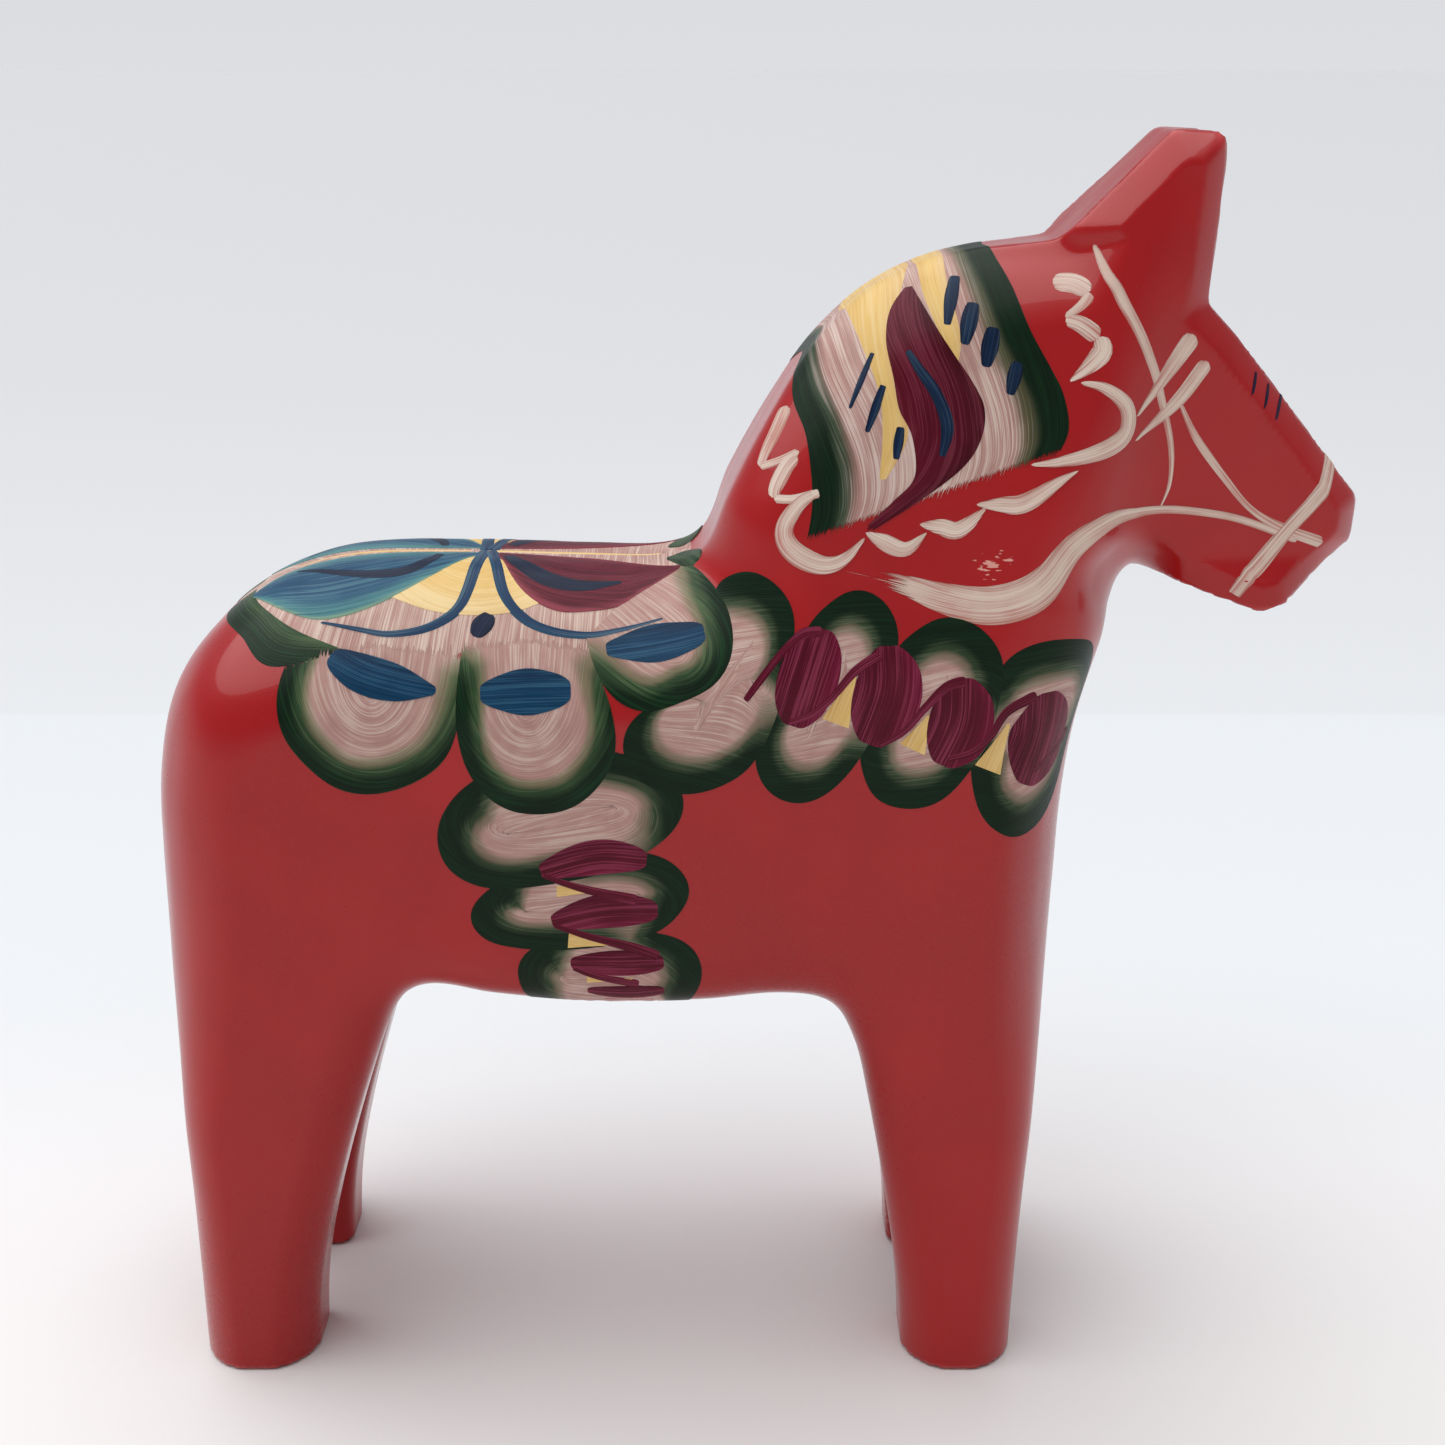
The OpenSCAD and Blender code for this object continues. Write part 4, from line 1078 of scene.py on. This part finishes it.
class HORSE_OT_mane(bpy.types.Operator):
    """Mane band over the crest, its stripes, drop and dabs, the zigzag behind and the leaves below"""
    bl_idname = "horse.mane"
    bl_label = "Mane"

    def execute(self, context):
        c = colours()
        left = [(11.5, 29, 176), (12.5, 28.5, 183), (12.5, 26, 189), (11.5, 22, 196), (10, 15, 201),
                (10.5, 8, 206), (11.5, 0, 208.5)]
        right = [(57.5, 25, 191.5), (60, 23.5, 197), (59, 23, 203.5), (56.5, 22, 208.5), (52.5, 20, 215.5),
                 (49.5, 15, 223), (47, 8, 227.5), (46, 0, 228.5)]
        stops = [(0, c["green"]),
                 (0.085, c["green"]),
                 (0.13, (56, 72, 52)),
                 (0.19, c["pink"]),
                 (0.5, (192, 160, 150)),
                 (0.78, c["pink"]),
                 (0.85, (84, 84, 60)),
                 (0.9, c["green"]),
                 (1, c["green"])]
        lines = [(0, (14, 44, 22)),
                 (0.09, (14, 44, 22)),
                 (0.2, (214, 194, 184)),
                 (0.5, (222, 206, 194)),
                 (0.78, (214, 194, 182)),
                 (0.9, (14, 44, 22))]
        band = leaf(left, right, level(2), 80.0, 40, 0.05, over=True)
        band["alone"] = True
        painted("mane_cloth", [band], "mane_band",
                brushed("mane_green_pink", stops, lines, (0.75, 0.64, 0.62), 0.75, 0.03, True))
        one = leaf([(25, 27, 188), (25.5, 25.5, 196), (25, 23, 203.5), (22.5, 18, 210.5), (20, 7, 216.5),
                    (19, 0, 215.5)],
                   [(26, 27, 188), (30, 25, 195), (30, 24, 200), (28, 21, 206.5), (28.5, 16, 213.5),
                    (31, 8, 222), (32, 0, 225)],
                   level(3.2), 82.0, 14, over=True)
        two = leaf([(39, 22, 209), (37, 20, 212.5), (35, 18, 216.5), (33.5, 13, 220.5), (33, 6, 224.5),
                    (32.5, 0, 225)],
                   [(39.5, 22, 209), (40, 20, 213.5), (39, 16, 218.5), (38, 12, 223), (38, 6, 226),
                    (38, 0, 227)],
                   level(3.2), 83.0, 12, over=True)
        one["alone"] = two["alone"] = True
        painted("mane_yellow", [one, two], "mane_stripes",
                brushed("mane_stripe_yellow",
                        [(0, (214, 176, 104)), (0.5, c["yellow"]), (1, (214, 176, 116))], (226, 204, 160),
                        (180, 136, 76), 0.4))
        drop = leaf([(30.5, 11, 222), (27.5, 14, 217.5), (26.5, 18, 212.5), (27.5, 22, 206.5),
                     (28.5, 24, 201), (31, 25, 196), (31.5, 27, 189), (27.5, 28, 184.5), (20.5, 29, 178)],
                    [(31.5, 11, 222), (33.5, 15, 218.5), (36, 19, 214.5), (39, 22, 210.5),
                     (42.5, 23, 205.5), (44.5, 24, 201), (44, 25, 196), (41, 26, 191), (34, 27, 185.5),
                     (21, 29, 177.5)],
                    level(4.6), 84.0, 18, 0.12)
        painted("mane_drop_crimson", [drop], "mane_drop",
                brushed("drop_crimson", [(0, (88, 10, 30)), (0.5, c["crimson"]), (1, (66, 6, 20))],
                        (134, 62, 76), (48, 4, 16), 0.34, fray=True))
        navy = brushed("mane_navy", [(0, c["navy"]), (0.5, (16, 38, 66)), (1, c["navy"])], (70, 90, 106),
                       (8, 12, 26), 0.35)
        painted("drop_heart",
                [ribbon([(30, 20, 211.5), (32, 22, 208.5), (35.5, 23, 203.5), (37.5, 25, 198),
                         (36.5, 26, 192)],
                        [1.2, 2.6, 3, 3.2, 1.4], level(6), 85.0)],
                "mane_drop_heart", navy)
        ends = [((39.5, 12, 224.5), (37.5, 19, 215), 3.2),
                ((42.5, 17, 220), (40.5, 21, 212), 3.6),
                ((46, 20, 216), (44.5, 22, 208), 3.7),
                ((50.5, 22, 210), (49, 23, 203), 3.3),
                ((24.5, 18, 210.5), (19.5, 23, 200.5), 1.5),
                ((26, 22, 205.5), (22.5, 25, 196.5), 2),
                ((29, 25, 198.5), (28, 26, 191.5), 2.4)]
        dabs = [ribbon((a, b), [w * 0.7, w, w * 0.45], level(6), 86.0 + i)
                for i, (a, b, w) in enumerate(ends)]
        painted("mane_dabs_navy", dabs, "mane_dabs", navy)
        cream = brushed("cream_strokes",
                        [(0, (184, 140, 128)), (0.3, c["cream"]), (0.7, c["cream"]), (1, (178, 130, 120))],
                        (226, 208, 194), (172, 60, 54), 0.75)
        zigzag = [([(8, 15, 200.5), (6, 17, 196), (4.5, 18, 191.5), (3.5, 19, 189)], [4.2, 4, 3.4, 2]),
                  ([(3.5, 19, 189), (7, 21, 190.5), (10.5, 23, 193)], [1.8, 1.8, 1.8]),
                  ([(10, 23, 192.5), (8, 23, 190), (6, 24, 186.5), (5.5, 25, 184.5)], [3, 3.6, 3.6, 2.2]),
                  ([(5.5, 25, 184.5), (9.5, 26, 184.5), (14.5, 27, 186)], [1.8, 1.8, 2.2]),
                  ([(13.5, 27, 186), (10.5, 27, 184), (8, 27, 180), (8, 28, 177), (10.5, 29, 174.5),
                    (14.5, 30, 173), (18.5, 30, 174), (22.5, 29, 178)],
                   [1.8, 2.8, 3.6, 4.2, 4.2, 3.2, 1.8, 0.4])]
        painted("zigzag_cream",
                [ribbon(p, w, level(4 + 0.3 * i), 95.0 + i) for i, (p, w) in enumerate(zigzag)],
                "mane_zigzag", cream)
        leaves = [([(22.5, 29, 179), (25.5, 29.5, 177.5), (30, 30, 176), (34, 29, 179)],
                   [0.6, 3.4, 2.6, 0.3]),
                  ([(32.5, 29, 180.5), (36.5, 29, 180), (40, 29, 179.5), (45, 28, 183.5)],
                   [0.6, 3.4, 2.8, 0.3]),
                  ([(43, 28, 184), (47.5, 28, 184), (52.5, 28, 184.5), (61.5, 23, 189.5)],
                   [0.6, 3.6, 2.8, 0.3])]
        painted("leaves_cream", [ribbon(p, w, level(5.4), 101.0 + i) for i, (p, w) in enumerate(leaves)],
                "mane_leaves", cream)
        return {"FINISHED"}


class HORSE_OT_bridle(bpy.types.Operator):
    """Forelock and bridle: scroll, curl, strand, brow dabs, cheek strap, throat feather, noseband, marks"""
    bl_idname = "horse.bridle"
    bl_label = "Forelock and bridle"

    def execute(self, context):
        c = colours()
        cream = brushed("bridle_cream",
                        [(0, (184, 140, 128)), (0.3, c["cream"]), (0.7, c["cream"]), (1, (178, 130, 120))],
                        (226, 208, 194), (172, 60, 54), 0.75)
        dry = brushed("bridle_cream_dry",
                      [(0, (186, 146, 132)), (0.3, c["cream"]), (0.7, c["cream"]), (1, (180, 136, 124))],
                      (222, 202, 188), (168, 62, 56), 0.7, fray=True)
        scroll = [([(57, 15, 223), (60.5, 16, 223.3), (64, 17.5, 221.3)], [4.6, 4.4, 3.2]),
                  ([(64, 17.5, 221.5), (62.5, 18.5, 219.5), (59, 20, 217.3)], [3, 2, 1.2]),
                  ([(59, 20, 217), (62, 20, 216), (65.5, 20.5, 213.5)], [2.4, 3.4, 3.6]),
                  ([(65.5, 20.5, 214), (66, 20, 211), (63.5, 21, 208.3), (60, 22, 205.7)],
                   [3, 4, 2.6, 0.4])]
        painted("forelock_cream",
                [ribbon(p, w, level(2 + 0.3 * i), 110.0 + i) for i, (p, w) in enumerate(scroll)],
                "forelock_scroll", cream)
        painted("curl_cream",
                [ribbon([(62, 21, 205.3), (66.5, 20, 204), (70, 19.5, 200.5), (69.5, 19.5, 196),
                         (65, 21, 192.8), (59, 23, 191), (53, 26, 191)],
                        [0.6, 2.4, 3.8, 3.8, 3, 1.8, 0.5], level(4), 115.0)],
                "forelock_curl", cream)
        painted("strand_cream",
                [ribbon([(65, 13, 230), (69, 17, 221), (74, 17.5, 211), (78, 17, 201.5), (80.7, 16.5, 193),
                         (81.2, 17, 186), (80, 19, 181)],
                        [1, 2.4, 2.3, 2.2, 1.7, 1.2, 0.3], level(2), 116.0)],
                "poll_strand", cream)
        brow = [([(84, 16, 213.8), (79, 17, 207), (72, 18.5, 199)], [3.8, 3, 0.4]),
                ([(87, 16, 208.8), (81, 16.5, 201), (72, 19, 194.5)], [3.2, 2.8, 0.4])]
        painted("brow_cream", [ribbon(p, w, level(3.4), 117.0 + i) for i, (p, w) in enumerate(brow)],
                "brow_dabs", cream)
        painted("cheek_cream",
                [ribbon([(82, 16, 201), (86, 16, 194), (92, 15.5, 186.5), (97.5, 15, 180.5),
                         (104, 14, 176.5), (113, 12, 173)],
                        [0.8, 1.7, 1.6, 1.4, 2.2, 2.6], level(2), 119.0)],
                "cheek_strap", cream)
        feather = ribbon([(108, 14, 173.5), (99, 16, 177.3), (92, 17, 179.3), (82, 19.5, 180.7),
                          (73, 22, 180.6), (67, 25, 179.3), (62, 29, 176), (57.5, 31, 170.5), (52, 32, 167),
                          (45, 32, 165.7), (37, 32, 167.2), (28, 31, 170), (15, 31, 173)],
                         [1, 1.5, 1.5, 1.6, 2, 4, 5.6, 7.2, 7.6, 6.4, 4.2, 1.9, 0.4], level(1.6), 120.0,
                         0.3)
        painted("feather_cream", [feather], "throat_feather", dry)
        painted("noseband_cream",
                [ribbon([(116, 0, 190), (115, 6, 189), (113, 11, 185), (109.5, 12.5, 180.5),
                         (105.5, 13.5, 176), (101.5, 14, 171), (97.5, 14, 166.5), (94, 9, 163)],
                        [3.6, 3.6, 3.6, 3.2, 3.2, 3.6, 3, 1], level(3.6), 121.0)],
                "noseband", cream)
        marks = [((97.2, 11, 206.3), (95.8, 14.5, 202)),
                 ((99.6, 9.5, 203.6), (98.4, 13.5, 199.3)),
                 ((102.2, 8, 201), (100.8, 13, 196.8))]
        painted("nose_marks_navy",
                [ribbon(m, [0.5, 0.9, 0.5], level(2), 125.0 + i) for i, m in enumerate(marks)],
                "nose_marks",
                brushed("nose_navy", [(0, c["navy"]), (1, (34, 22, 48))], (60, 60, 84), (8, 10, 22), 0.3))
        return {"FINISHED"}


# --- the stage -------------------------------------------------------------------------------------

CAMERA_PLACE = (-0.004, -0.393, 0.261)
CAMERA_TILT = 71.87                   # degrees up from looking straight down
CAMERA_FIELD = 39.73                  # degrees across the frame
SENSOR = 36.0
PAPER_HALF = 200                      # the paper runs this far each way
PAPER_BEND, BEND_HALF = 0.415, 0.004  # where the paper's tone changes behind the horse, and over how much
PAPER_TONE = 0.78                     # how much of the light the paper gives back
# Tones of the paper behind the bend and before it, by how steeply they are seen: painted shade behind the
#  bend, darker like a wall, and painted light before it, paler towards the camera. Then the tones of the
#  surroundings by height, from 0 at the horizon to 1 straight up
WALL_SHADE_TONES = [(0, (221, 222, 225)), (0.3, (225, 226, 229)), (0.64, (235, 237, 240))]
FLOOR_LIGHT_TONES = [(0.3, (238, 242, 245)), (0.5, (243, 246, 249)), (0.6, (252, 251, 252)),
               (0.74, (255, 253, 252))]
SKY_TONES = [(0.0, (221, 222, 225)), (0.045, (219, 220, 223)), (0.25, (158, 160, 166)),
             (0.6, (158, 160, 164)),
             (0.9, (228, 228, 228))]
CEILING_ENERGY = 2.5
CEILING_SPREAD = 80                   # degrees across, so that shadows are soft
CEILING_TURN = (-6, -20, 0)           # degrees from straight down


class HORSE_OT_stage(bpy.types.Operator):
    """Pale paper floor, soft lights, surroundings and the camera"""
    bl_idname = "horse.stage"
    bl_label = "Stage"

    def execute(self, context):
        scene = context.scene
        scene.view_settings.view_transform = "Standard"
        f = Finish("paper")
        place = f.place()
        _, y, _ = f.parts(place)
        # how steeply the paper is seen from a low place in front: from 0 far away to 0.7 before the horse
        far = (y - CAMERA_PLACE[1]).math("MAXIMUM", 0.1)
        steep = Value(f, f.node("ShaderNodeMath", {"operation": "DIVIDE"},
                                {0: CAMERA_PLACE[2], 1: far}).outputs[0])
        # painted light and shade on the paper: darker behind the bend, paler the nearer it lies to the
        # camera
        wall = f.ramp(steep * 2.0, [(at, linear(*tone)) for at, tone in WALL_SHADE_TONES], "LINEAR")
        ground = f.ramp(steep, [(at, linear(*tone)) for at, tone in FLOOR_LIGHT_TONES], "LINEAR")
        paper = f.mix((y * -1.0).between(-PAPER_BEND - BEND_HALF, -PAPER_BEND + BEND_HALF), wall, ground)
        paper = f.mix(1.0, paper, (PAPER_TONE, PAPER_TONE, PAPER_TONE, 1), "MULTIPLY")
        grain = f.noise(place, 500.0, 3.0)
        material = f.shine(paper, 0.6 + grain * 0.1, [(grain, 0.00005)])
        corners = [(-PAPER_HALF, -PAPER_HALF, 0), (PAPER_HALF, -PAPER_HALF, 0),
                   (PAPER_HALF, PAPER_HALF, 0), (-PAPER_HALF, PAPER_HALF, 0)]
        mesh = bpy.data.meshes.new("paper_floor")
        mesh.from_pydata(corners, [], [(0, 1, 2, 3)])
        mesh.materials.append(material)
        floor = bpy.data.objects.new("paper_floor", mesh)
        scene.collection.objects.link(floor)

        scene.world = bpy.data.worlds.new("surroundings")
        f = Finish("surroundings", scene.world)
        height = f.parts(f.node("ShaderNodeTexCoord").outputs["Generated"])[2]
        sky = f.ramp(height, [(at, linear(*tone)) for at, tone in SKY_TONES], "LINEAR")
        background = f.node("ShaderNodeBackground", {}, {"Color": sky})
        f.node("ShaderNodeOutputWorld", {}, {"Surface": background.outputs[0]})
        data = bpy.data.lights.new("ceiling", "SUN")
        data.energy, data.angle = CEILING_ENERGY, np.radians(CEILING_SPREAD)
        ceiling = bpy.data.objects.new("ceiling", data)
        ceiling.rotation_euler = np.radians(CEILING_TURN)
        scene.collection.objects.link(ceiling)

        data = bpy.data.cameras.new("camera")
        data.sensor_width = SENSOR
        data.lens = SENSOR / 2 / np.tan(np.radians(CAMERA_FIELD / 2))
        data.clip_start = 0.01
        camera = bpy.data.objects.new("camera", data)
        camera.location = CAMERA_PLACE
        camera.rotation_euler = (np.radians(CAMERA_TILT), 0, 0)
        scene.collection.objects.link(camera)
        scene.camera = camera
        return {"FINISHED"}


OPERATORS = (HORSE_OT_wood, HORSE_OT_coat, HORSE_OT_saddle, HORSE_OT_collar, HORSE_OT_girth, HORSE_OT_mane,
             HORSE_OT_bridle, HORSE_OT_stage)


class HORSE_PT_panel(bpy.types.Panel):
    """Lists the horse's pieces"""
    bl_label = "Painted Horse"
    bl_idname = "HORSE_PT_panel"
    bl_space_type = "VIEW_3D"
    bl_region_type = "UI"
    bl_category = "Horse"

    def draw(self, context):
        """A button for each operator, then the sizes and colours."""
        for operator in OPERATORS:
            self.layout.operator(operator.bl_idname)
        for group in (context.scene.horse_sizes, context.scene.horse_colours):
            for key in group.__annotations__:
                self.layout.prop(group, key)


CLASSES = (HorseColours, HorseSizes, *OPERATORS, HORSE_PT_panel)


def register():
    for item in CLASSES:
        bpy.utils.register_class(item)
    bpy.types.Scene.horse_colours = PointerProperty(type=HorseColours)
    bpy.types.Scene.horse_sizes = PointerProperty(type=HorseSizes)


def unregister():
    del bpy.types.Scene.horse_sizes
    del bpy.types.Scene.horse_colours
    for item in reversed(CLASSES):
        bpy.utils.unregister_class(item)


def main():
    """Makes the horse and its stage, one operator after another."""
    register()
    for operator in OPERATORS:
        family, action = operator.bl_idname.split(".")
        getattr(getattr(bpy.ops, family), action)()


if __name__ == "__main__":
    main()
